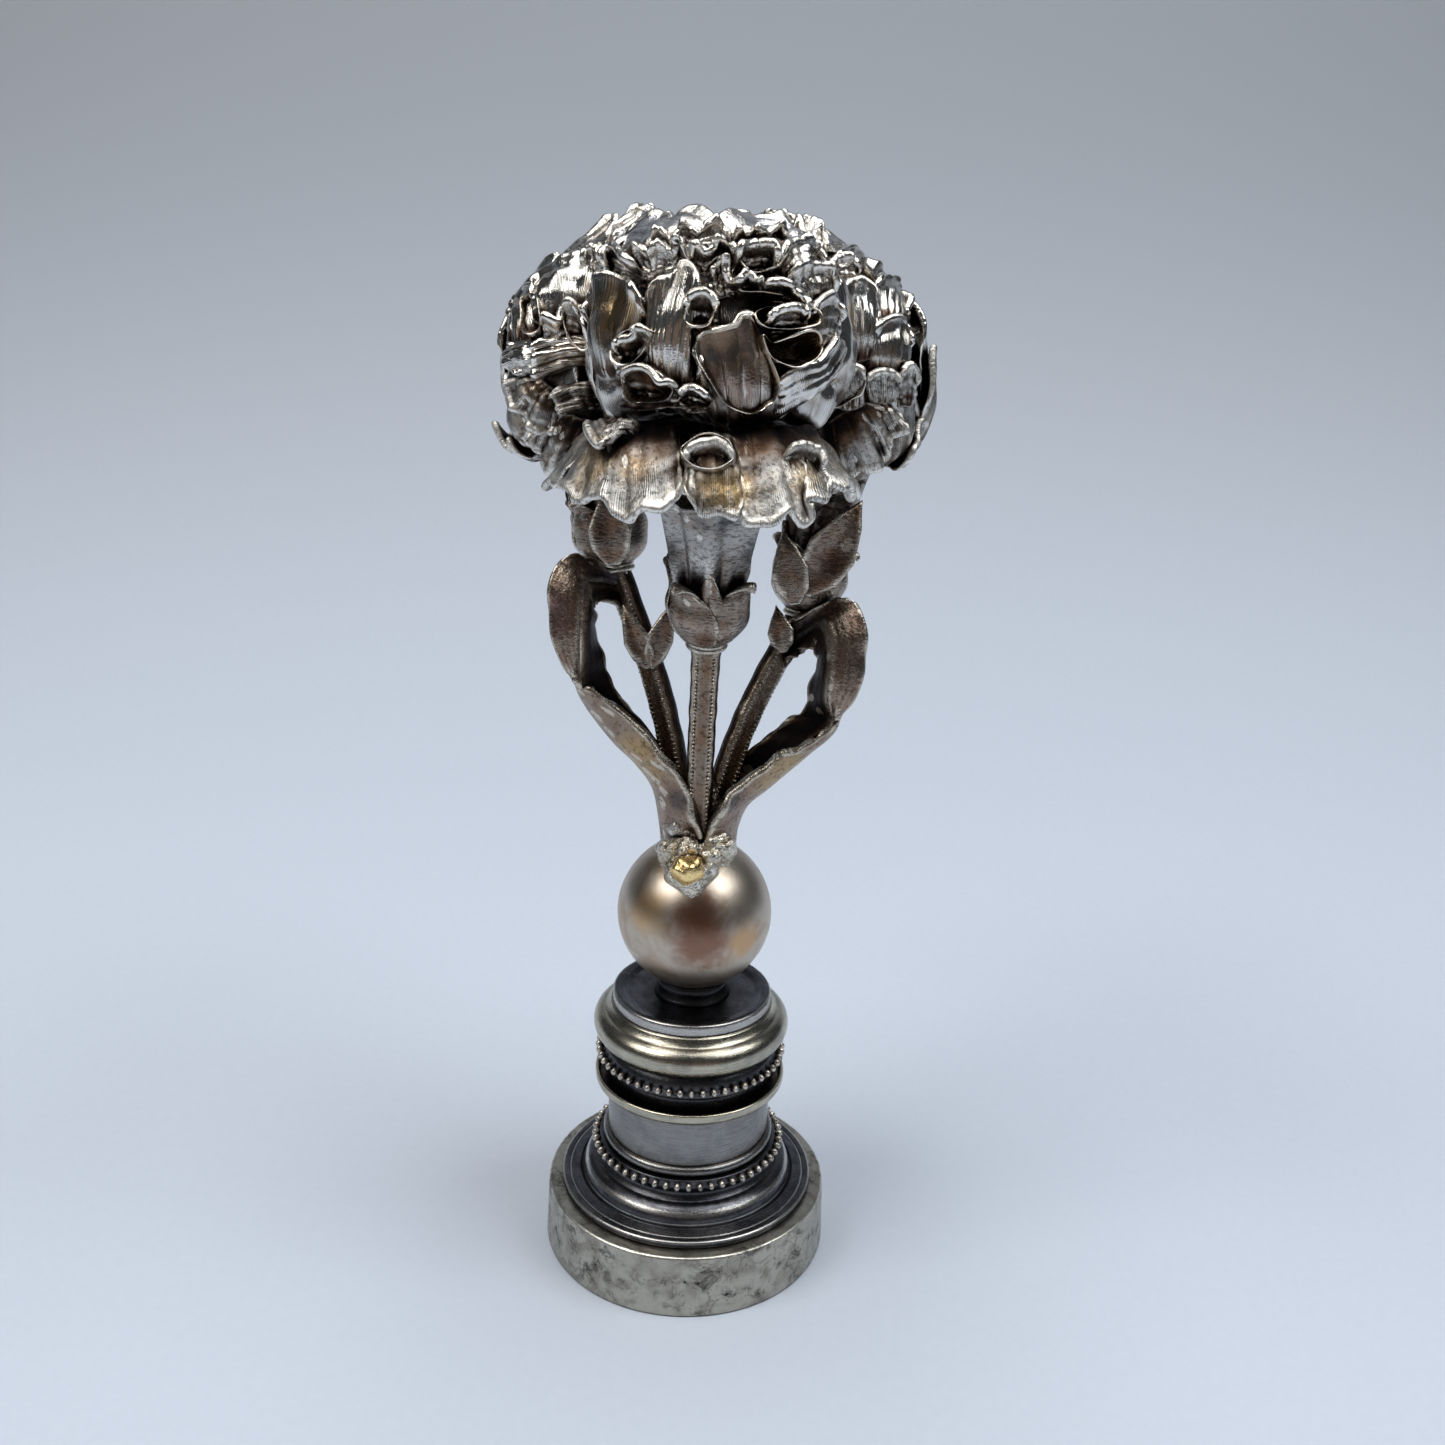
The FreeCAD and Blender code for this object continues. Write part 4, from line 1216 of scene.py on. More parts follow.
@dataclass(frozen=True)
class Gallery:
    """Collar, drum with its beads, torus ring and stepped cap."""

    collar_floor: float = 13.99
    collar_radius: float = 7.42
    collar_top: float = 14.96
    drum_radius: float = 6.75
    drum_top: float = 17.82
    bead_circle: float = 7.12
    bead_height: float = 16.7
    bead_radius: float = 0.28
    bead_count: int = 53
    torus_radius: float = 7.57
    torus_half: float = 1.2
    torus_middle: float = 19.07
    torus_top: float = 20.82
    cap_radius: float = 6.1
    cap_top: float = 21.78
    dish_radius: float = 5.3
    dish_depth: float = 0.34

    def collar(self) -> Cloud:
        """Shallow tray with a bright rounded rim.

        Returns:
            The mesh in the making.
        """
        return Lathe(wobble=0.02, seed=21).solid(
            (0.0, self.collar_floor, 0.0),
            (self.collar_radius - 0.35, self.collar_floor, 0.1),
            (self.collar_radius, self.collar_floor + 0.3, 0.25),
            (self.collar_radius, self.collar_top, 0.16),
            (self.collar_radius - 0.3, self.collar_top, 0.1),
            (self.collar_radius - 0.36, self.collar_top - 0.5, 0.1),
            (0.0, self.collar_top - 0.5, 0.0),
        )

    def drum(self) -> Cloud:
        """Dark drum behind the beads, with a raised band under them.

        Returns:
            The mesh in the making.
        """
        band = self.bead_height - 0.36
        return Lathe(seed=22).solid(
            (0.0, self.collar_top - 0.6, 0.0),
            (self.drum_radius - 0.25, self.collar_top - 0.6, 0.0),
            (self.drum_radius - 0.25, band - 0.5, 0.1),
            (self.drum_radius + 0.2, band - 0.2, 0.1),
            (self.drum_radius + 0.3, band + 0.1, 0.08),
            (self.drum_radius, band + 0.3, 0.08),
            (self.drum_radius - 0.05, self.drum_top, 0.0),
            (0.0, self.drum_top, 0.0),
        )

    def torus(self) -> Cloud:
        """Full round ring that hollows in to the cap.

        Returns:
            The mesh in the making.
        """
        bulge = [
            (
                self.torus_radius - self.torus_half + self.torus_half * math.cos(angle),
                self.torus_middle + self.torus_half * math.sin(angle),
            )
            for angle in np.linspace(-math.pi / 2, math.pi * 0.38, 24)
        ]
        last = bulge[-1]
        hollow = [
            (
                last[0] + (self.cap_radius + 0.12 - last[0]) * share,
                last[1] + (self.torus_top - last[1]) * share**1.8,
            )
            for share in np.linspace(0.15, 1, 10)
        ]
        outline = np.array([(0.0, self.drum_top)] + bulge + hollow + [(0.0, self.torus_top)])
        return Lathe(wobble=0.03, seed=23).turn(outline)

    def cap(self) -> Cloud:
        """Stepped cap with a dished dark top.

        Returns:
            The mesh in the making.
        """
        return Lathe(wobble=0.02, seed=24).solid(
            (0.0, self.torus_top, 0.0),
            (self.cap_radius - 0.06, self.torus_top, 0.0),
            (self.cap_radius, self.torus_top + 0.1, 0.08),
            (self.cap_radius, self.cap_top - 0.05, 0.2),
            (self.cap_radius - 0.4, self.cap_top, 0.12),
            (self.dish_radius, self.cap_top - 0.1, 0.1),
            (self.dish_radius - 0.4, self.cap_top - self.dish_depth, 0.15),
            (3.2, self.cap_top - 0.3, 0.2),
            (0.0, self.cap_top - self.dish_depth, 0.0),
        )

    def build(self, finishes: Finishes) -> None:
        """Makes and reports the pieces of the gallery.

        Args:
            finishes: The seal's finishes.
        """
        settle(self.collar().piece("tray_collar", finishes.torus), "turned_silver", "collar")
        drum = self.drum().piece("gallery_band", finishes.tarnished)
        settle(drum, "turned_silver", "gallery_drum")
        beads = BeadRow(
            "gallery_beads",
            self.bead_circle,
            self.bead_height,
            self.bead_count,
            self.bead_radius,
            12,
        )
        settle(beads.build(finishes.bead), "turned_silver", "gallery_bead_ring")
        settle(self.torus().piece("round_torus", finishes.torus), "turned_silver", "torus_ring")
        settle(self.cap().piece("dished_cap", finishes.tarnished), "turned_silver", "stepped_cap")


@dataclass(frozen=True)
class Ball:
    """Ball with the seat under it."""

    radius: float = 5.86
    middle: float = 28.25
    dents: int = 26
    seat_radius: float = 2.6
    seat_floor: float = 21.44

    def ball(self) -> Cloud:
        """Sphere with slight hammered unevenness.

        Returns:
            The mesh in the making.
        """
        cloud = Cloud()
        rows, columns = 129, 256
        polar = np.linspace(0, math.pi, rows)[:, None]
        angle = np.linspace(0, math.tau, columns, endpoint=False)[None, :]
        outward = np.stack(
            [
                np.sin(polar) * np.cos(angle),
                np.sin(polar) * np.sin(angle),
                np.cos(polar) * np.ones_like(angle),
            ],
            -1,
        )
        relief = np.zeros((rows, columns))
        chance = np.random.default_rng(31)
        for _ in range(self.dents):
            spot = chance.normal(size=3)
            spot /= np.linalg.norm(spot)
            width = chance.uniform(0.25, 0.6)
            dent = np.exp(-((1 - outward @ spot) / (width**2 / 2)))
            relief += chance.uniform(-0.035, 0.03) * dent
        points = outward * (self.radius - 0.03 + relief)[..., None]
        points[..., 2] += self.middle
        cloud.take(points.reshape(-1, 3), grid_faces(rows, columns, ring=True)[:, ::-1])
        return cloud

    def seat(self) -> Cloud:
        """Dark stem between the dished cap and the ball.

        Returns:
            The mesh in the making.
        """
        floor = self.middle - self.radius
        return Lathe(segments=96, wobble=0.05, seed=33).solid(
            (0.0, self.seat_floor, 0.0),
            (self.seat_radius + 0.35, self.seat_floor, 0.0),
            (self.seat_radius, self.seat_floor + 0.5, 0.3),
            (self.seat_radius + 0.2, floor + 0.62, 0.0),
            (0.0, floor + 0.4, 0.0),
        )

    def build(self, finishes: Finishes) -> None:
        """Makes and reports the ball and its seat."""
        settle(self.ball().piece("satin_ball", finishes.ball), "ball_silver", "ball")
        settle(self.seat().piece("dark_seat", finishes.tarnished), "turned_silver", "ball_seat")


def turn_of(azimuth: float, lean: float) -> np.ndarray:
    """Rotation that leans +Z outwards in the plane of an azimuth.

    Args:
        azimuth: Degrees from +X.
        lean: Degrees from upright.

    Returns:
        Matrix whose columns are the turned axes.
    """
    swing, tilt = math.radians(azimuth), math.radians(lean)
    about_z = np.array(
        [[math.cos(swing), -math.sin(swing), 0], [math.sin(swing), math.cos(swing), 0], [0, 0, 1]]
    )
    about_y = np.array(
        [[math.cos(tilt), 0, math.sin(tilt)], [0, 1, 0], [-math.sin(tilt), 0, math.cos(tilt)]]
    )
    return about_z @ about_y


def smooth_path(points: np.ndarray, count: int) -> np.ndarray:
    """Points evenly spaced by parameter on a smooth path.

    Args:
        points: Path points in rows, of any width.
        count: Number of points wanted.

    Returns:
        The path, as Catmull-Rom spans.
    """
    padded = np.vstack([2 * points[0] - points[1], points, 2 * points[-1] - points[-2]])
    places = np.linspace(0, len(points) - 1, count)
    span = np.minimum(places.astype(int), len(points) - 2)
    t = (places - span)[:, None]
    a, b, c, d = padded[span], padded[span + 1], padded[span + 2], padded[span + 3]
    return 0.5 * (
        2 * b
        + (c - a) * t
        + (2 * a - 5 * b + 4 * c - d) * t**2
        + (3 * b - 3 * c + d - a) * t**3
    )


def closed_path(points: np.ndarray, count: int) -> np.ndarray:
    """Points evenly spaced by parameter on a smooth loop.

    Args:
        points: Corner points in rows.
        count: Number of points wanted for each corner.

    Returns:
        The loop, without its first point again at the end.
    """
    corners = len(points)
    wrapped = np.vstack([points[-1:], points, points[:2]])
    return smooth_path(wrapped, (corners + 2) * count + 1)[count : count + corners * count]


def unit(vectors: np.ndarray) -> np.ndarray:
    """Vectors of length one."""
    return vectors / (np.linalg.norm(vectors, axis=-1, keepdims=True) + 1e-12)


def cast_sheet(
    cloud: Cloud,
    grid: np.ndarray,
    thick: np.ndarray,
    weave_scale: tuple[float, float] = (14.0, 1.0),
) -> None:
    """Adds a sheet of cast metal with a round rim.

    Args:
        cloud: The mesh in the making.
        grid: Points in rows from base to rim.
        thick: Thickness at each point.
        weave_scale: Scale of the chasing across and along.
    """
    across = np.gradient(grid, axis=1)
    along = np.gradient(grid, axis=0)
    normal = unit(np.cross(across, along))
    half = (thick / 2)[..., None]
    outer = grid + normal * half
    inner = grid - normal * half
    tip = unit(along[-1])
    arcs = [
        grid[-1] + (normal[-1] * math.cos(angle) + tip * math.sin(angle)) * half[-1]
        for angle in (math.pi / 4, math.pi / 2, math.pi * 3 / 4)
    ]
    ring = np.concatenate([outer, np.array(arcs), inner[::-1]], 0)
    rows, columns = ring.shape[:2]
    faces = grid_faces(columns, rows, ring=True)
    points = ring.transpose(1, 0, 2).reshape(-1, 3)
    ends = []
    for start in (0, (columns - 1) * rows):
        for k in range(rows // 2):
            quad = [start + k, start + k + 1, start + rows - 2 - k, start + rows - 1 - k]
            if len(set(quad)) == 4:
                ends.append(quad if start else quad[::-1])
    high, wide = grid.shape[:2]
    u = np.repeat(np.linspace(0, 1, wide)[:, None], rows, 1) * weave_scale[0]
    v_line = np.concatenate([np.linspace(0, 1, high), np.ones(3), np.linspace(1, 0, high)])
    v = np.repeat(v_line[None, :], wide, 0) * weave_scale[1]
    weave = np.stack([u, v], -1).reshape(-1, 2)
    cloud.take(points, np.concatenate([faces, np.array(ends)]), weave)


@dataclass(frozen=True)
class Sprig:
    """Where one stem, its calyx and its blossom stand."""

    name: str
    azimuth: float
    calyx_lean: float
    blossom_lean: float
    reach: float
    rise: float
    calyx_length: float
    blossom_radius: float
    blossom_height: float
    start: float = 1.25
    floor: float = 35.61
    bow: float = 0.9
    ring_height: float = 0.55

    @property
    def outward(self) -> np.ndarray:
        """Level direction away from the axis."""
        return turn_of(self.azimuth, 0)[:, 0]

    @property
    def side(self) -> np.ndarray:
        """Level direction across the sprig."""
        return turn_of(self.azimuth, 0)[:, 1]

    def stem_axes(self, share: float) -> tuple[np.ndarray, np.ndarray]:
        """Directions across and out of the stem's chased face.

        Args:
            share: Share of the stem's height.

        Returns:
            The two directions.
        """
        along = unit(self.stem_middle(share + 0.02) - self.stem_middle(share - 0.02))
        aim = np.array([0.45 * np.sign(round(self.outward[0], 1)), -1.0, 0.0])
        face = unit(aim - along * (along @ aim))
        return np.cross(face, along), face

    @property
    def stem_top(self) -> np.ndarray:
        """End of the stem."""
        return self.outward * self.reach + np.array([0, 0, self.floor + self.rise])

    @property
    def calyx_turn(self) -> np.ndarray:
        """Axes of the calyx."""
        return turn_of(self.azimuth, self.calyx_lean)

    @property
    def calyx_foot(self) -> np.ndarray:
        """Foot of the calyx tube."""
        return self.stem_top + self.calyx_turn[:, 2] * self.ring_height

    @property
    def mouth(self) -> np.ndarray:
        """Middle of the calyx mouth."""
        return self.calyx_foot + self.calyx_turn[:, 2] * self.calyx_length

    def stem_middle(self, share: float) -> np.ndarray:
        """Middle of the stem at a share of its height.

        Args:
            share: Share of the stem's height.

        Returns:
            The point.
        """
        root = self.outward * self.start + np.array([0, 0, self.floor])
        return root + (self.stem_top - root) * share - self.outward * self.bow * math.sin(
            math.pi * share
        )


@dataclass
class Stem:
    """Stem with its ring, calyx tube and cup of sepals."""

    sprig: Sprig
    width: float = 1.95
    depth: float = 1.6
    seed: int = 41
    tall: float = 6.0
    squarish: float = 2.6

    @property
    def faces(self) -> float:
        """Angle about the calyx that looks to the front."""
        return math.radians(-90 - self.sprig.azimuth)

    def bar(self) -> Cloud:
        """Flat-fronted bar with soft corners that bows to the calyx.

        Returns:
            The mesh in the making.
        """
        cloud = Cloud()
        chance = np.random.default_rng(self.seed)
        sprig = self.sprig
        rows, sides = 60, 28
        angles = np.linspace(0, math.tau, sides, endpoint=False)
        cosine, sine = np.cos(angles), np.sin(angles)
        power = self.squarish
        spread = (np.abs(cosine) ** power + np.abs(sine) ** power) ** (-1 / power)
        grid = []
        phase = chance.uniform(0, math.tau, 4)
        for share in np.linspace(-0.02, 1.03, rows):
            middle = sprig.stem_middle(share)
            flare = 1 + 0.12 * max(0.0, 0.12 - share) / 0.12 + 0.10 * max(0.0, share - 0.9) / 0.1
            ripple = 1 + 0.02 * math.sin(share * 31 + phase[0])
            ripple += 0.02 * math.sin(share * 53 + phase[1])
            wide = cosine * spread * self.width / 2 * flare * ripple
            deep = sine * spread * self.depth / 2 * flare
            front = np.clip(sine, 0, 1) ** 2
            deep = deep - 0.12 * front * np.exp(-((cosine / 0.45) ** 2))
            across, face = sprig.stem_axes(share)
            grid.append(middle + np.outer(wide, across) + np.outer(deep, face))
        points = np.array(grid).reshape(-1, 3)
        cloud.take(points, capped_faces(rows, sides), even_weave(rows, 1, sides, 6))
        return cloud

    def edge_lines(self) -> list[np.ndarray]:
        """Lines along both front corners of the stem.

        Returns:
            The two lines.
        """
        sprig = self.sprig
        lines = []
        for hand in (-1, 1):
            line = []
            for share in np.linspace(0.06, 0.97, 40):
                across, face = sprig.stem_axes(share)
                rise = across * hand * self.width * 0.29 + face * self.depth * 0.455
                line.append(sprig.stem_middle(share) + rise)
            lines.append(np.array(line))
        return lines

    def ring(self) -> Cloud:
        """Small bright ring under the calyx.

        Returns:
            The mesh in the making.
        """
        cloud = Lathe(segments=48, wobble=0.03, seed=self.seed, corner_steps=4).solid(
            (0.0, -0.05, 0.0),
            (1.25, -0.05, 0.1),
            (1.42, 0.12, 0.1),
            (1.38, 0.3, 0.08),
            (1.30, 0.33, 0.06),
            (1.36, 0.5, 0.08),
            (1.2, 0.62, 0.1),
            (0.0, 0.62, 0.0),
        )
        cloud.points[0] = cloud.points[0] @ self.sprig.calyx_turn.T + self.sprig.stem_top
        return cloud

    def tube(self) -> Cloud:
        """Fluted calyx tube that widens to its mouth, with toothed tips.

        Returns:
            The mesh in the making.
        """
        cloud = Cloud()
        sprig = self.sprig
        rows, columns = 70, 120
        length = sprig.calyx_length + 0.4
        angle = np.linspace(0, math.tau, columns, endpoint=False)
        flutes = np.cos(5 * angle + 0.6)
        grid = []
        for share in np.linspace(0, 1, rows):
            bulge = 1.05 + 1.05 * min(1, share * 3.2) ** 0.8
            bulge += 1.15 * max(0.0, share - 0.35) ** 1.5 / 0.65**1.5
            bulge *= 1.0 if sprig.name == "front" else 0.92
            radius = bulge + (0.30 * flutes + 0.13 * np.cos(10 * angle)) * min(1, share * 2)
            teeth = 0.5 * np.abs(np.cos(2.5 * angle + 0.3)) * max(0, share - 0.8) * 3
            height = length * share + teeth
            grid.append(np.stack([radius * np.cos(angle), radius * np.sin(angle), height], -1))
        for share in np.linspace(0.96, 0.3, 12):
            last = grid[rows - 1]
            inner = last.copy()
            inner[:, :2] *= share
            inner[:, 2] -= (1 - share) * 1.6
            grid.append(inner)
        points = np.array(grid)
        count = len(points)
        world = points.reshape(-1, 3) @ sprig.calyx_turn.T + sprig.calyx_foot
        cloud.take(world, capped_faces(count, columns), even_weave(count, 11, columns, 9))
        return cloud

    def sepal(self, cloud: Cloud, middle: float, profile: np.ndarray, spread: np.ndarray) -> None:
        """Adds one pointed sepal of the cup.

        Args:
            cloud: The mesh in the making.
            middle: Angle of its middle about the calyx.
            profile: Radii and heights from foot to tip.
            spread: Half widths in radians from foot to tip.
        """
        rows, columns = 40, 27
        path = smooth_path(profile, rows)
        u = np.linspace(-1, 1, columns)[None, :]
        v = np.linspace(0, 1, rows)[:, None]
        width = np.interp(v, np.linspace(0, 1, len(spread)), spread)
        angle = middle + u * width
        lap = 0.12 * u + 0.16 * (1 - u**2) + 0.10 * np.abs(u) ** 6 * v
        crease = -0.12 * np.exp(-((u / 0.14) ** 2)) * v
        radius = path[:, :1] + lap + crease + 0.05 * np.sin(v * 23 + middle)
        sag = 0.35 * u**2 * v
        grid = np.stack([radius * np.cos(angle), radius * np.sin(angle), path[:, 1:2] - sag], -1)
        world = grid @ self.sprig.calyx_turn.T + self.sprig.calyx_foot
        thick = 0.34 * np.ones((rows, columns)) * (1 - 0.8 * np.abs(u) ** 6)
        cast_sheet(cloud, world, thick, (6.0, 2.0))

    def cup(self) -> Cloud:
        """Cup of outer sepals with curled tips and inner ones that stand upright.

        Returns:
            The mesh in the making.
        """
        cloud = Cloud()
        outer = np.array(
            [
                (0.9, 0.0), (1.7, 0.55), (2.3, 1.5), (2.5, 2.6), (2.42, 3.6), (2.5, 4.3),
                (3.1, 4.9), (3.5, 4.75),
            ]
        )
        inner = np.array(
            [
                (0.9, 0.1), (1.6, 0.7), (2.1, 1.7), (2.25, 2.9), (2.2, 4.0), (2.3, 5.0),
                (2.45, self.tall),
            ]
        )
        outer_spread = np.array([0.95, 1.0, 1.0, 0.92, 0.72, 0.46, 0.22, 0.03])
        inner_spread = np.array([0.70, 0.70, 0.66, 0.56, 0.42, 0.24, 0.03])
        facing = self.faces
        for k in range(4):
            self.sepal(cloud, facing + math.pi / 4 * 1.15 + math.tau * k / 4, outer, outer_spread)
            self.sepal(cloud, facing + math.tau * k / 4, inner, inner_spread)
        return cloud

    def build(self, finishes: Finishes) -> None:
        """Makes and reports the stem, its ring, tube and cup.

        Args:
            finishes: The seal's finishes.
        """
        name = self.sprig.name
        settle(self.bar().piece(name + "_bar", finishes.stem), "cast_silver", name + "_stem")
        settle(
            self.ring().piece(name + "_ring", finishes.bead), "cast_silver", name + "_calyx_ring"
        )
        # The side tubes take the darker finish, painted shade.
        skin = finishes.calyx if name == "front" else finishes.shaded_calyx
        settle(self.tube().piece(name + "_tube", skin), "cast_silver", name + "_calyx_tube")
        settle(self.cup().piece(name + "_cup", finishes.cup), "cast_silver", name + "_sepal_cup")
        stitches = Stitches(name + "_stitches", self.edge_lines())
        settle(stitches.build(finishes.stitch), "cast_silver")


@dataclass
class Stitches:
    """Small chased ticks along lines, made by Geometry Nodes."""

    name: str
    lines: list[np.ndarray]
    spacing: float = 0.34
    length: float = 0.12
    seed: int = 51
    stretch: tuple[Corner, Corner] = ((0.8, 1.1, 0.4), (1.3, 1.9, 0.6))

    def build(self, material: bpy.types.Material) -> bpy.types.Object:
        """Sets the ticks along the lines.

        Args:
            material: Finish of the ticks.

        Returns:
            The piece.
        """
        mesh = bpy.data.meshes.new(self.name)
        points = np.concatenate(self.lines) * MM
        edges, start = [], 0
        for line in self.lines:
            edges += [(start + k, start + k + 1) for k in range(len(line) - 1)]
            start += len(line)
        mesh.from_pydata(points.tolist(), edges, [])
        growth = Growth(self.name, ("Spacing", "Tick Size"))
        line = growth.node("GeometryNodeMeshToCurve", {"Mesh": growth.source["Geometry"]})
        places = growth.node(
            "GeometryNodeCurveToPoints",
            {"Curve": line.outputs["Curve"], "Length": growth.source["Spacing"]},
            mode="LENGTH",
        )
        tick = growth.node(
            "GeometryNodeMeshIcoSphere",
            {"Subdivisions": 2, "Radius": growth.source["Tick Size"]},
        )
        growth.scatter(
            places.outputs["Points"],
            tick.outputs["Mesh"],
            places.outputs["Rotation"],
            self.stretch,
            self.seed,
            material,
        )
        return growth.piece(mesh, {"Spacing": self.spacing * MM, "Tick Size": self.length * MM})


@dataclass
class Leaf:
    """Long folded blade that follows three lines: its near rim, its crease and its far rim."""

    name: str
    near: Sequence[tuple[float, float, float]]
    crease: Sequence[tuple[float, float, float]]
    far: Sequence[tuple[float, float, float]]
    thick: float = 0.5
    seed: int = 61

    def blade(self) -> Cloud:
        """The leaf as one cast sheet with ruffled rims.

        Returns:
            The mesh in the making.
        """
        cloud = Cloud()
        chance = np.random.default_rng(self.seed)
        count, columns = 150, 45
        lines = (self.near, self.crease, self.far)
        near, crease, far = (smooth_path(np.array(line), count)[:, None, :] for line in lines)
        u = np.linspace(-1, 1, columns)[None, :, None]
        grid = near * u * (u - 1) / 2 + crease * (1 - u**2) + far * u * (u + 1) / 2
        share = np.linspace(0, 1, count)[:, None]
        flat = u[..., 0]
        phase = chance.uniform(0, math.tau, 6)
        ruffle = np.sin(share * 47 + phase[0] + flat) + 0.6 * np.sin(share * 83 + phase[1])
        ruffle = 0.13 * ruffle * np.abs(flat) ** 4
        vein = -0.12 * np.exp(-(((flat - 0.05) / 0.12) ** 2))
        ribs = 0.006 * np.cos(9 * math.pi * flat + 5 * share)
        normal = unit(np.cross(np.gradient(grid, axis=1), np.gradient(grid, axis=0)))
        grid = grid + normal * (ruffle + vein + ribs)[..., None]
        thick = self.thick * (1 + 0.2 * np.abs(flat) ** 8) * np.ones((count, 1))
        thick = thick * np.interp(share, [0, 0.93, 1], [1, 1, 0.5])
        cast_sheet(cloud, grid, thick, (9.0, 3.0))
        return cloud


@dataclass
class Bract:
    """Small pointed blade beside a stem."""

    name: str
    foot: np.ndarray
    lean: float
    length: float
    width: float = 1.9

    def blade(self) -> Cloud:
        """The bract as a cast sheet hollow towards the front.

        Returns:
            The mesh in the making.
        """
        cloud = Cloud()
        rows, columns = 40, 17
        angle = math.radians(self.lean)
        along = np.array([math.sin(angle), 0, math.cos(angle)])
        across = np.array([math.cos(angle), 0, -math.sin(angle)])
        front = np.array([0, -1.0, 0])
        v = np.linspace(0, 1, rows)
        u = np.linspace(-1, 1, columns)
        half = self.width / 2 * np.interp(v, [0, 0.2, 0.5, 0.8, 1], [0.35, 0.85, 1.0, 0.55, 0.06])
        cup = np.interp(v, [0, 0.3, 0.8, 1], [0.1, 0.5, 0.3, 0.0])
        curl = 0.5 * np.maximum(0, v - 0.7) ** 2 / 0.09
        lift = np.sin(v * math.pi) * 0.35
        rise = half[:, None] * cup[:, None] * np.abs(u[None, :]) ** 1.5
        rise = rise + lift[:, None] * 0.3 - curl[:, None]
        grid = (
            self.foot
            + v[:, None, None] * along * self.length
            + (half[:, None] * u[None, :])[..., None] * across
            + rise[..., None] * front
        )
        thick = 0.42 * (1 - 0.75 * np.abs(u[None, :]) ** 6) * np.ones((rows, 1))
        cast_sheet(cloud, grid, thick, (4.0, 4.0))
        return cloud


SKIRT_HOLE = 0.3
"""Flat width left open at the root of a skirt, so that its petals don't meet in a point."""
PATH_STEPS = 241
"""Points on a globe's outline."""
DRAWN_RADIUS, DRAWN_HEIGHT = 7.4, 16.4
"""Size of the blossom that the globes are drawn for."""
RIM_REACH = 0.085
"""Width of a pocket's rolled rim, in flat units."""


class Globe(Enum):
    """Forms of revolution that petals lie over, as (radius, height) outlines in millimetres."""

    DOME = (
        (3.2, 4.3), (6.3, 4.7), (7.8, 6.7), (8.1, 9.6), (7.6, 12.4), (6.2, 14.6), (3.8, 15.9),
        (0.0, 16.4),
    )
    SKIRT = ((2.6, 0.6), (4.4, 3.9), (6.2, 4.6), (7.8, 3.6), (8.9, 2.1), (9.6, 0.5), (10.0, -1.1))
    BOWL = (
        (2.8, 0.0), (5.4, 0.1), (7.2, 1.9), (7.9, 5.0), (7.5, 8.3), (6.1, 11.4), (4.2, 13.5),
        (2.1, 14.8), (0.0, 15.1),
    )

    def spread(self, places: Sequence[tuple[float, float]]) -> np.ndarray:
        """Lays places out flat about the pole of the form.

        Args:
            places: Azimuths in degrees and shares of the outline.

        Returns:
            Flat points in rows.
        """
        azimuth, share = np.radians(np.array(places)[:, 0]), np.array(places)[:, 1]
        reach = share + SKIRT_HOLE if self is Globe.SKIRT else 1 - share
        return np.stack([reach * np.cos(azimuth), reach * np.sin(azimuth)], -1)

    def place(self, flat: np.ndarray) -> tuple[np.ndarray, np.ndarray]:
        """Finds flat points on the form.

        Args:
            flat: Points as from spread().

        Returns:
            The points and the outward normals there.
        """
        reach = np.linalg.norm(flat, axis=-1)
        share = reach - SKIRT_HOLE if self is Globe.SKIRT else 1 - reach
        path = smooth_path(np.array(self.value), PATH_STEPS)
        slope = unit(np.gradient(path, axis=0))
        stops, at = np.arange(PATH_STEPS), np.clip(share, 0, 1) * (PATH_STEPS - 1)
        radius, height = (np.interp(at, stops, path[:, k]) for k in (0, 1))
        level, rise = (np.interp(at, stops, slope[:, k]) for k in (0, 1))
        around = unit(flat)
        points = np.concatenate([around * radius[..., None], height[..., None]], -1)
        normals = np.concatenate([around * rise[..., None], -level[..., None]], -1)
        return points, -normals if self is Globe.SKIRT else normals


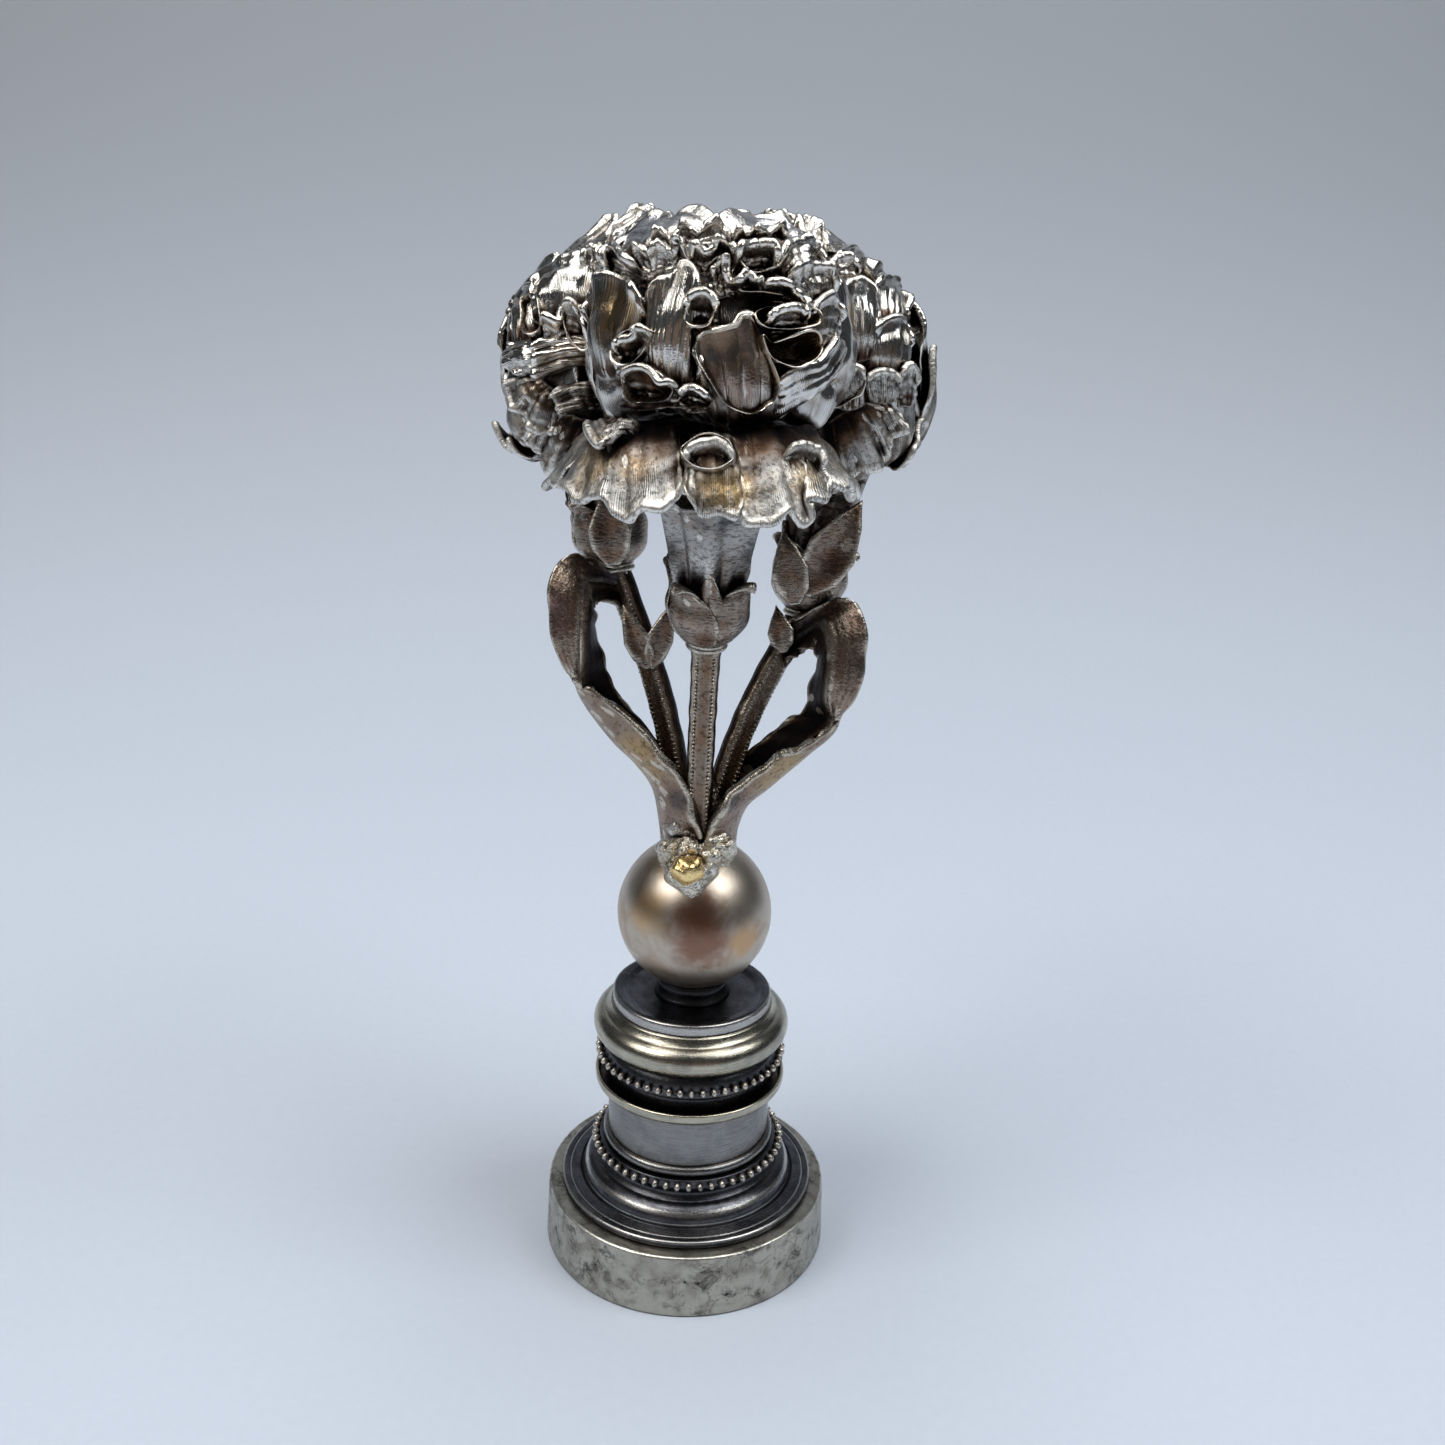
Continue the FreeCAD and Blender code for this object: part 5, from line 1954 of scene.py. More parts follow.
@dataclass(frozen=True)
class LaidPetal:
    """One ruffled petal that lies over a globe, from its root to its rim."""

    name: str
    globe: Globe
    whorl: str
    root: tuple[tuple[float, float], ...]
    rim: tuple[tuple[float, float], ...]
    lift: tuple[float, float] = (0.2, 1.0)
    belly: float = 0.4
    swing: float = 0.15
    waves: float = 2.0
    curl: float = 0.3
    flutes: float = 0
    thick: float = 0.42

    def grid(self, rows: int = 32) -> np.ndarray:
        """Points of the petal about the blossom's axis.

        Args:
            rows: Rows from the root to the rim.

        Returns:
            Points in rows, in millimetres.
        """
        chance = np.random.default_rng(sum(map(ord, self.name)))
        phase = chance.uniform(0, math.tau, 6)
        columns = 24 + 6 * len(self.rim)
        foot = smooth_path(self.globe.spread(self.root), columns)
        edge = smooth_path(self.globe.spread(self.rim), columns)
        v = np.linspace(0, 1, rows)[:, None]
        u = np.linspace(0, 1, columns)[None, :]
        points, normals = self.globe.place(
            foot[None] * (1 - v[..., None]) + edge[None] * v[..., None]
        )
        side = 2 * u - 1
        out = self.lift[0] + (self.lift[1] - self.lift[0]) * v**1.8
        out = out + self.belly * np.sin(math.pi * v**0.85) * (1 - side**2)
        beat = math.tau * self.waves * u + phase[0]
        out = out + self.swing * v**2 * (np.sin(beat) + 0.3 * np.sin(2.7 * beat + phase[1]))
        out = out + self.curl * np.clip((v - 0.72) / 0.28, 0, 1) ** 2
        out = out - (0.25 + self.lift[1] * 0.5) * np.abs(side) ** 9 * v
        groove = np.abs(np.sin(math.pi * self.flutes * u + phase[2] + 0.8 * v)) ** 0.6
        if self.flutes > 0:
            depth = 0.07 + 0.012 * self.flutes
            out = out + depth * (groove - 0.7) * np.sin(math.pi * v**0.7)
        out = out + 0.07 * np.sin(9 * u + 7 * v + phase[3]) * np.sin(13 * u - 5 * v + phase[4])
        small = 0.06 if self.flutes < 5 else 0.02
        out = out + small * np.sin(21 * u + 11 * v + phase[5]) * np.sin(17 * u - 15 * v + phase[2])
        return points + normals * out[..., None]


@dataclass(frozen=True)
class Hollow:
    """Pocket between folds: a rolled bright rim round a dark, fluted hollow."""

    name: str
    globe: Globe
    rim: tuple[tuple[float, float], ...]
    root: tuple[float, float]
    lift: float = 1.4
    depth: float = 1.3
    flutes: int = 0

    def rings(self) -> np.ndarray:
        """Rings of points about the blossom's axis, from under the rim to the root.

        Returns:
            Points in rows, in millimetres.
        """
        loop = closed_path(self.globe.spread(self.rim), 11)
        middle = self.globe.spread((self.root,))[0]
        profile = np.array(
            [
                (0.96, 2.1), (-0.06, 1.8), (-0.14, 1.0), (-0.13, 0.35), (-0.08, 0.04),
                (-0.02, 0.02), (0.04, 0.2), (0.12, 0.55 * self.depth), (0.28, 0.9 * self.depth),
                (0.5, self.depth),
                (0.75, 0.95 * self.depth), (0.97, 0.8 * self.depth),
            ]
        )
        stops = smooth_path(profile, 56)
        share, drop = stops[:, :1, None], stops[:, 1:]
        reach = np.linalg.norm(loop - middle, axis=1)[None, :, None]
        rolled = 0.12 * RIM_REACH / reach
        inward = np.where(
            share < 0.12,
            share * RIM_REACH / reach,
            rolled + (share - 0.12) / 0.85 * (0.97 - rolled),
        )
        share = stops[:, :1]
        turn = np.linspace(0, math.tau, len(loop), endpoint=False)[None, :]
        chance = np.random.default_rng(sum(map(ord, self.name)))
        groove = np.abs(np.sin(self.flutes * turn / 2 + 0.8)) ** 0.7 - 0.6
        window = np.clip((share - 0.05) * 6, 0, 1) * (1 - share)
        lift = self.lift - drop + 0.3 * groove * window * (self.flutes > 0)
        lift = lift + 0.12 * np.sin(3 * turn + chance.uniform(0, 6)) * (share < 0.5)
        flat = middle + (loop[None] - middle) * (1 - inward)
        points, normals = self.globe.place(flat)
        return points + normals * lift[..., None]


@dataclass
class Blossom:
    """Carnation of lapped, ruffled petals about a dark core."""

    sprig: Sprig
    droops: bool
    seed: int
    laid: Sequence[LaidPetal]
    pockets: Sequence[Hollow] = ()
    faces_at: float = 0.0
    shoulder: float = 0.0
    squeeze: float = 0.3

    def row(
        self,
        whorl: str,
        globe: Globe,
        count: int,
        half: float,
        low: float,
        high: float,
        seed: int,
        lobes: int = 3,
        depth: float = 0.05,
        **style: float,
    ) -> list[LaidPetal]:
        """Petals spaced round the axis with small differences.

        Args:
            whorl: Name of the whorl.
            globe: Form that they lie over.
            count: Number of petals.
            half: Half the width of a petal in degrees.
            low: Share of the outline at the roots.
            high: Share of the outline at the rims.
            seed: Seed of the differences.
            lobes: Lobes of a rim.
            depth: Depth of the notches between the lobes.
            style: Other measures of the petals.

        Returns:
            The petals, sunk where the placed petals cover them.
        """
        chance = np.random.default_rng(self.seed * 100 + seed)
        petals = []
        for k in range(count):
            middle = 360 * (k + chance.uniform(-0.1, 0.1)) / count + 23 * seed
            wide = half * chance.uniform(0.85, 1.2)
            top = high + chance.normal(0, 0.018)
            stops = np.linspace(-1, 1, 2 * lobes + 1)
            rim = tuple(
                (
                    middle + wide * (s + chance.normal(0, 0.03)),
                    top - 0.09 * abs(s) ** 2.5 - depth * chance.uniform(0.5, 1.4) * (i % 2 == 0),
                )
                for i, s in enumerate(stops)
            )
            root = tuple((middle + wide * 0.7 * s, low) for s in (-1, 0, 1))
            turned = (middle - self.faces_at + 180) % 360 - 180
            low_row = high < 0.85 or globe is Globe.SKIRT
            sink = float(np.clip((100 - abs(turned)) / 25, 0, 1)) * low_row
            lifts = (0.1 - 1.1 * sink, chance.uniform(0.6, 1.1) - 1.6 * sink)
            petals.append(
                LaidPetal(f"{whorl}{seed}{k}", globe, whorl, root, rim, lift=lifts, **style)
            )
        return petals

    def whorls(self) -> list[LaidPetal]:
        """The rows of petals from the lowest to the heart.

        Returns:
            The petals, lowest row first.
        """
        body = Globe.DOME if self.droops else Globe.BOWL
        petals = list(self.laid)
        if self.droops:
            low, high = 0.02, 0.44
            rows = [("guard", Globe.SKIRT, 6, 36, 0.05, 0.84, 1, 4, 0.08, {"swing": 0.35})]
        else:
            low, high = 0.24, 0.56
            loose = {"belly": 0.6, "swing": 0.3}
            fluted = {"flutes": 3, "belly": 0.9, "swing": 0.3}
            rows = [
                ("guard", body, 6, 36, 0.02, 0.27, 1, 4, 0.04, loose),
                ("guard", body, 6, 34, 0.10, 0.42, 2, 3, 0.05, fluted),
            ]
        full, deep = {"flutes": 3, "belly": 1.0, "swing": 0.3}, {"belly": 0.9, "swing": 0.3}
        rows += [
            ("side", body, 5, 40, low, high, 3, 3, 0.05, full),
            ("side", body, 5, 36, low + 0.22, high + 0.16, 4, 3, 0.05, deep),
            ("crown", body, 5, 36, 0.52, 0.80, 5, 3, 0.04, {"belly": 0.6, "swing": 0.25}),
            ("crown", body, 4, 44, 0.66, 0.88, 6, 2, 0.04, {"belly": 0.5, "swing": 0.25}),
            ("heart", body, 3, 55, 0.78, 0.96, 7, 2, 0.03, {"belly": 0.5, "swing": 0.25}),
        ]
        for *measures, style in rows:
            petals += self.row(*measures, **style)
        return petals

    def world(self, local: np.ndarray) -> np.ndarray:
        """Places points of the blossom in the frame.

        Args:
            local: Points about the blossom's axis, drawn for the middle size.

        Returns:
            Points in the frame.
        """
        sprig = self.sprig
        turned = turn_of(sprig.azimuth, sprig.blossom_lean)
        wide, tall = sprig.blossom_radius / DRAWN_RADIUS, sprig.blossom_height / DRAWN_HEIGHT
        sized = local * np.array([wide, wide, tall])
        around = np.arctan2(sized[..., 1], sized[..., 0])
        outer = ((1 + np.cos(around)) / 2) ** 2 * np.hypot(sized[..., 0], sized[..., 1])
        rise = np.clip(sized[..., 2] / sprig.blossom_height, 0, 1) ** 2
        sized[..., 2] *= 1 - self.shoulder * outer / sprig.blossom_radius * rise
        near = 1 - self.squeeze * ((1 - np.cos(around)) / 2) ** 3
        sized = sized * np.stack([near, near, np.ones_like(near)], -1)
        return sized @ turned.T + sprig.mouth

    def petals(self, petals: Iterable[LaidPetal]) -> Cloud:
        """Casts a group of petals as one mesh.

        Args:
            petals: The petals of the group.

        Returns:
            The mesh in the making.
        """
        cloud = Cloud()
        for petal in petals:
            grid = petal.grid()
            rows, columns = grid.shape[:2]
            v = np.linspace(0, 1, rows)[:, None]
            u = np.linspace(-1, 1, columns)[None, :]
            thick = petal.thick * (0.75 + 0.5 * np.clip((v - 0.75) / 0.25, 0, 1) ** 1.5)
            thick = thick * np.clip(1 - np.abs(u) ** 14, 0.08, 1)
            cast_sheet(cloud, self.world(grid), thick, (6.0 + 2.0 * len(petal.rim), 1.0))
        return cloud

    def hollows(self) -> Cloud:
        """Casts the pockets as one mesh.

        Returns:
            The mesh in the making.
        """
        cloud = Cloud()
        for pocket in self.pockets:
            rings = pocket.rings()
            rows, columns = rings.shape[:2]
            around = np.repeat(np.linspace(0, 1.2 * len(pocket.rim), columns)[None], rows, 0)
            inward = np.repeat(np.clip(np.linspace(-1, 1, rows), 0, 1)[:, None], columns, 1)
            weave = np.stack([around, inward], -1).reshape(-1, 2)
            cloud.take(self.world(rings).reshape(-1, 3), capped_faces(rows, columns), weave)
        return cloud

    def core(self) -> Cloud:
        """Dark, wrinkled body that carries the petals.

        Returns:
            The mesh in the making.
        """
        cloud = Cloud()
        body = Globe.DOME if self.droops else Globe.BOWL
        outline = smooth_path(np.array(body.value), 90)
        slope = unit(np.gradient(outline, axis=0))
        outline = outline - np.stack([slope[:, 1], -slope[:, 0]], -1) * 1.25
        outline[:, 0] = np.maximum(outline[:, 0], 0.01)
        outline = np.vstack([[0.01, outline[0, 1] - 0.2], outline])
        segments = 220
        angle = np.linspace(0, math.tau, segments, endpoint=False)
        rise = np.linspace(0, 1, len(outline))[:, None]
        chance = np.random.default_rng(self.seed)
        wrinkle = np.zeros((len(outline), segments))
        for k in range(9):
            across, along = chance.integers(4, 15), chance.uniform(8, 30)
            phase = chance.uniform(0, math.tau, 2)
            bent = phase[0] + 1.5 * np.sin(3 * angle + phase[1])
            wave = np.sin(across * angle + along * rise + bent)
            wrinkle += 0.12 * (1 - 2 * np.abs(wave) ** 0.7)
        flank = np.clip(rise * 6, 0, 1) * np.clip(outline[:, :1] / 2, 0, 1)
        top = np.clip((rise - 0.75) * 6, 0, 1) * np.clip((1 - rise) * 12, 0, 1)
        wide = outline[:, :1] + wrinkle * flank
        high = outline[:, 1:2] + 0.6 * wrinkle * top
        points = np.stack([wide * np.cos(angle), wide * np.sin(angle), high], -1)
        faces = grid_faces(len(outline), segments, ring=True)
        cloud.take(self.world(points).reshape(-1, 3), faces)
        return cloud

    def build(self, finishes: Finishes) -> None:
        """Makes and reports the core and the whorls.

        Args:
            finishes: The seal's finishes.
        """
        name = self.sprig.name
        core = self.core().piece(name + "_core", finishes.frill)
        settle(core, "cast_silver", name + "_blossom_core")
        if self.pockets:
            settle(self.hollows().piece(name + "_hollows", finishes.hollow), "cast_silver")
        petals = self.whorls()
        for whorl, finish in (
            ("guard", finishes.satin),
            ("side", finishes.petal),
            ("crown", finishes.frill),
            ("heart", finishes.frill),
        ):
            chosen = [petal for petal in petals if petal.whorl == whorl]
            piece = self.petals(chosen).piece(f"{name}_{whorl}", finish)
            settle(piece, "cast_silver", f"{name}_{whorl}_petals")


FRONT_PETALS = (
    LaidPetal(
        "bowl", Globe.DOME, "side",
        root=((-8, 0.221), (0, 0.171), (9, 0.146), (22, 0.171), (31, 0.229)),
        rim=(
            (-10, 0.312), (-8, 0.354), (-10, 0.392), (-7, 0.433), (-2, 0.438), (3, 0.446),
            (6, 0.475), (10, 0.483), (13, 0.463), (15, 0.408), (19, 0.354), (23, 0.308),
        ),
        lift=(0.2, 0.6), belly=0.45, swing=0.12, curl=0.1, flutes=7,
    ),
    LaidPetal(
        "ridged", Globe.DOME, "side",
        root=((24, 0.167), (33, 0.225), (44, 0.279), (56, 0.333), (81, 0.4)),
        rim=((21, 0.308), (26, 0.338), (32, 0.358), (40, 0.371), (46, 0.408), (55, 0.471)),
        lift=(0.15, 0.7), belly=0.5, swing=0.05, waves=1.0, curl=0.1, flutes=3,
    ),
    LaidPetal(
        "swirl_low", Globe.DOME, "crown",
        root=((19, 0.421), (28, 0.425), (41, 0.458)),
        rim=((15, 0.458), (17, 0.479), (22, 0.492), (27, 0.492), (31, 0.475)),
        lift=(0.2, 1.5), belly=0.2, swing=0.1, waves=1.5, curl=0.4,
    ),
    LaidPetal(
        "swirl_high", Globe.DOME, "crown",
        root=((21, 0.508), (29, 0.508), (40, 0.529)),
        rim=((14, 0.554), (18, 0.554), (23, 0.546), (27, 0.529), (30, 0.508), (29, 0.483)),
        lift=(0.2, 1.3), belly=0.3, curl=0.45,
    ),
    LaidPetal(
        "right_low", Globe.DOME, "side",
        root=((38, 0.371), (49, 0.4), (64, 0.446)),
        rim=((35, 0.492), (40, 0.529), (47, 0.55), (52, 0.533), (54, 0.487)),
        lift=(0.1, 0.8), belly=0.3, flutes=4,
    ),
    LaidPetal(
        "right_high", Globe.DOME, "crown",
        root=((35, 0.508), (46, 0.533), (63, 0.562)),
        rim=((25, 0.579), (31, 0.613), (38, 0.625), (46, 0.625), (50, 0.596), (52, 0.55)),
        swing=0.2, curl=0.35, flutes=5,
    ),
    LaidPetal(
        "shoulder", Globe.DOME, "crown",
        root=((29, 0.571), (40, 0.617), (69, 0.658)),
        rim=((24, 0.629), (28, 0.675), (37, 0.704), (45, 0.704), (50, 0.679), (51, 0.637)),
        belly=0.5, curl=0.35, flutes=4,
    ),
    LaidPetal(
        "gold_high", Globe.DOME, "crown",
        root=((4, 0.596), (14, 0.608), (26, 0.625)),
        rim=((4, 0.6), (6, 0.633), (11, 0.646), (15, 0.65), (19, 0.637), (20, 0.604)),
        lift=(0.2, 1.5), belly=0.2, waves=1.5, curl=0.5,
    ),
    LaidPetal(
        "frill", Globe.DOME, "crown",
        root=((-3, 0.521), (5, 0.542), (16, 0.562)),
        rim=(
            (-5, 0.567), (-3, 0.596), (0, 0.6), (1, 0.562), (5, 0.55), (8, 0.571), (11, 0.558),
            (14, 0.542),
        ),
        lift=(0.2, 1.3), belly=0.2, swing=0.3, waves=3.0, curl=0.45,
    ),
    LaidPetal(
        "loop", Globe.DOME, "side",
        root=((-14, 0.429), (-8, 0.421), (-2, 0.438)),
        rim=((-13, 0.479), (-12, 0.504), (-8, 0.517), (-4, 0.508), (-2, 0.479)),
        lift=(0.2, 1.4), belly=-0.2, swing=0.1, waves=1.5, curl=0.5,
    ),
    LaidPetal(
        "streaked", Globe.DOME, "side",
        root=((-32, 0.317), (-23, 0.279), (-11, 0.292)),
        rim=(
            (-30, 0.508), (-28, 0.542), (-24, 0.558), (-20, 0.575), (-18, 0.608), (-13, 0.6),
            (-10, 0.562), (-11, 0.5), (-12, 0.45),
        ),
        lift=(0.1, 0.8), belly=0.7, swing=0.1, curl=0.25, flutes=9,
    ),
    LaidPetal(
        "gold_lobe", Globe.DOME, "side",
        root=((-66, 0.329), (-52, 0.308), (-39, 0.325)),
        rim=(
            (-64, 0.479), (-64, 0.533), (-57, 0.575), (-48, 0.579), (-39, 0.562), (-33, 0.525),
            (-30, 0.467),
        ),
        lift=(0.1, 0.8), belly=0.6, swing=0.3, waves=2.5, curl=0.35, flutes=5,
    ),
    LaidPetal(
        "gold_hollow", Globe.DOME, "side",
        root=((-46, 0.325), (-37, 0.325), (-29, 0.338)),
        rim=((-38, 0.379), (-36, 0.404), (-31, 0.412), (-29, 0.433), (-25, 0.429)),
        lift=(0.5, 1.6), belly=-0.3, swing=0.1, waves=1.5, curl=0.4,
    ),
    LaidPetal(
        "arched", Globe.DOME, "side",
        root=((-51, 0.225), (-35, 0.217), (-22, 0.225), (-12, 0.225)),
        rim=(
            (-39, 0.312), (-35, 0.338), (-30, 0.346), (-26, 0.338), (-22, 0.312), (-18, 0.312),
            (-16, 0.287),
        ),
        lift=(0.4, 1.1), belly=-0.3, swing=0.1, waves=1.5, curl=0.4,
    ),
    LaidPetal(
        "small_frill", Globe.DOME, "side",
        root=((-18, 0.221), (-12, 0.208), (-5, 0.212)),
        rim=((-16, 0.271), (-14, 0.292), (-10, 0.3), (-6, 0.287), (-3, 0.267)),
        lift=(0.3, 1.0), belly=-0.1, swing=0.1, waves=1.5,
    ),
    LaidPetal(
        "point", Globe.SKIRT, "guard",
        root=((-49, 0.483), (-41, 0.483), (-33, 0.487)),
        rim=((-66, 0.487), (-44, 0.637), (-39, 0.583), (-35, 0.525)),
        lift=(1.2, 1.6), swing=0.1, waves=1.0, curl=0.1, flutes=3,
    ),
    LaidPetal(
        "lip_left", Globe.DOME, "crown",
        root=((-72, 0.617), (-54, 0.592), (-42, 0.596)),
        rim=((-54, 0.608), (-56, 0.65), (-51, 0.658), (-42, 0.621), (-35, 0.596)),
        lift=(0.3, 1.3), belly=0.2, swing=0.1, waves=1.0, curl=0.4,
    ),
    LaidPetal(
        "ruffle_left", Globe.DOME, "crown",
        root=((-38, 0.558), (-27, 0.567), (-16, 0.592)),
        rim=(
            (-38, 0.617), (-36, 0.646), (-30, 0.629), (-26, 0.646), (-20, 0.637), (-18, 0.658),
            (-13, 0.617),
        ),
        lift=(0.2, 1.2), belly=0.2, swing=0.3, waves=3.0, curl=0.4,
    ),
    LaidPetal(
        "ruffle_mid", Globe.DOME, "crown",
        root=((-16, 0.592), (-7, 0.6), (2, 0.633)),
        rim=((-14, 0.617), (-11, 0.642), (-6, 0.633), (-2, 0.658), (2, 0.654), (5, 0.621)),
        lift=(0.2, 1.2), belly=0.2, swing=0.3, waves=2.5, curl=0.4,
    ),
    LaidPetal(
        "ruffle_top", Globe.DOME, "heart",
        root=((-34, 0.646), (-19, 0.662), (-2, 0.688)),
        rim=(
            (-35, 0.683), (-30, 0.708), (-23, 0.696), (-18, 0.725), (-11, 0.717), (-3, 0.746),
            (5, 0.708),
        ),
        lift=(0.2, 0.9), belly=0.2, swing=0.35, waves=3.0, curl=0.4,
    ),
    LaidPetal(
        "ruffle_back", Globe.DOME, "heart",
        root=((6, 0.692), (21, 0.717), (42, 0.738)),
        rim=((4, 0.696), (11, 0.725), (18, 0.717), (28, 0.75), (34, 0.721)),
        lift=(0.2, 0.9), belly=0.2, swing=0.3, waves=2.5, curl=0.4,
    ),
    LaidPetal(
        "fan_left", Globe.SKIRT, "guard",
        root=((-73, 0.433), (-56, 0.362), (-38, 0.362), (-21, 0.362)),
        rim=(
            (-81, 0.725), (-68, 0.817), (-55, 0.85), (-51, 0.904), (-44, 0.875), (-38, 0.879),
            (-34, 0.958), (-28, 1), (-24, 0.933), (-18, 0.933), (-14, 0.863), (-12, 0.762),
        ),
        lift=(0.1, 0.6), belly=0.5, swing=0.22, waves=3.5, flutes=4,
    ),
    LaidPetal(
        "tongue", Globe.SKIRT, "guard",
        root=((-12, 0.496), (-4, 0.471), (7, 0.508)),
        rim=((-12, 0.754), (-9, 0.858), (-5, 0.95), (0, 0.933), (5, 0.963), (8, 0.838)),
        lift=(0.3, 0.7), belly=0.7, swing=0.1, waves=1.5, curl=0.0, flutes=3,
    ),
    LaidPetal(
        "ring", Globe.SKIRT, "guard",
        root=((-9, 0.704), (-4, 0.75), (3, 0.717)),
        rim=((-11, 0.713), (-10, 0.65), (-4, 0.613), (1, 0.629), (5, 0.7)),
        lift=(0.7, 1.6), belly=-0.4, swing=0.05, waves=1.0, curl=0.2,
    ),
    LaidPetal(
        "fan_right", Globe.SKIRT, "guard",
        root=((4, 0.425), (19, 0.379), (42, 0.362), (73, 0.362)),
        rim=(
            (6, 0.887), (8, 0.992), (12, 1), (17, 0.992), (22, 0.912), (26, 1), (30, 0.967),
            (29, 0.858), (36, 0.863), (40, 0.767), (40, 0.658), (47, 0.546),
        ),
        lift=(0.1, 0.6), belly=0.5, swing=0.22, waves=3.0, flutes=4,
    ),
    LaidPetal(
        "fold", Globe.SKIRT, "guard",
        root=((22, 0.675), (30, 0.704), (40, 0.704)),
        rim=((23, 0.625), (30, 0.596), (36, 0.621), (37, 0.7)),
        lift=(0.4, 1.2), belly=-0.2, swing=0.05, waves=1.0, curl=0.35,
    ),
)

LEFT_PETALS = (
    LaidPetal(
        "boss", Globe.BOWL, "side",
        root=((65, 0.521), (86, 0.521), (99, 0.554)),
        rim=((65, 0.567), (56, 0.613), (57, 0.658), (68, 0.696), (79, 0.717), (97, 0.708)),
        lift=(0.2, 0.9), belly=0.9, swing=0.12, flutes=3,
    ),
    LaidPetal(
        "ear", Globe.BOWL, "crown",
        root=((86, 0.662), (94, 0.667), (101, 0.679)),
        rim=((87, 0.675), (86, 0.713), (92, 0.717), (100, 0.683)),
        lift=(0.5, 1.4), belly=0.2, swing=0.05, waves=1.0,
    ),
    LaidPetal(
        "outer_rim", Globe.BOWL, "side",
        root=((47, 0.446), (63, 0.458), (75, 0.475)),
        rim=((34, 0.496), (33, 0.537), (32, 0.575), (56, 0.608)),
        lift=(0.3, 0.6), belly=0.2, swing=0.1, flutes=3,
    ),
    LaidPetal(
        "knobs", Globe.BOWL, "side",
        root=((80, 0.479), (91, 0.487), (102, 0.512)),
        rim=((82, 0.517), (84, 0.537), (91, 0.533), (90, 0.562), (95, 0.575), (101, 0.55)),
        lift=(0.4, 1.5), belly=0.3, swing=0.2,
    ),
    LaidPetal(
        "fold_high", Globe.BOWL, "side",
        root=((113, 0.521), (115, 0.492), (115, 0.463)),
        rim=((85, 0.492), (83, 0.467), (86, 0.454), (85, 0.429), (88, 0.412)),
        lift=(0.4, 1.2), belly=0.3, swing=0.3, waves=2.5, flutes=4,
    ),
    LaidPetal(
        "fold_low", Globe.BOWL, "guard",
        root=((118, 0.433), (119, 0.404), (119, 0.371)),
        rim=((99, 0.408), (98, 0.388), (101, 0.367), (104, 0.354)),
        lift=(0.4, 1.3), belly=0.3, swing=0.25, flutes=3,
    ),
    LaidPetal(
        "satin", Globe.BOWL, "side",
        root=((79, 0.487), (84, 0.454), (86, 0.417)),
        rim=((58, 0.458), (59, 0.429), (66, 0.408), (74, 0.396)),
        lift=(0.1, 0.5), belly=0.7, swing=0.2, waves=1.5, flutes=3,
    ),
    LaidPetal(
        "droop", Globe.BOWL, "guard",
        root=((80, 0.404), (89, 0.396), (97, 0.379)),
        rim=((64, 0.379), (67, 0.346), (76, 0.329), (83, 0.308), (92, 0.296), (99, 0.304)),
        lift=(0.1, 0.5), belly=0.6, swing=0.35, waves=3.0, flutes=3,
    ),
    LaidPetal(
        "under", Globe.BOWL, "guard",
        root=((96, 0.35), (106, 0.342), (118, 0.338)),
        rim=((83, 0.292), (85, 0.242), (92, 0.196), (103, 0.217), (112, 0.267), (121, 0.296)),
        lift=(0.0, 0.4), belly=0.5, swing=0.35, waves=3.0, flutes=3,
    ),
    LaidPetal(
        "left_crown", Globe.BOWL, "crown",
        root=((94, 0.75), (115, 0.796), (160, 0.842)),
        rim=((90, 0.762), (88, 0.821), (96, 0.883), (118, 0.983), (-121, 0.925)),
        lift=(0.2, 0.9), belly=0.6, swing=0.1, waves=1.5, flutes=4,
    ),
    LaidPetal(
        "left_top", Globe.BOWL, "heart",
        root=((128, 0.863), (-130, 0.863), (-135, 0.812)),
        rim=((57, 0.925), (-48, 0.933), (-95, 0.925), (-115, 0.9), (-130, 0.871), (-135, 0.829)),
        lift=(0.2, 0.8), belly=0.5, swing=0.2, flutes=5,
    ),
)

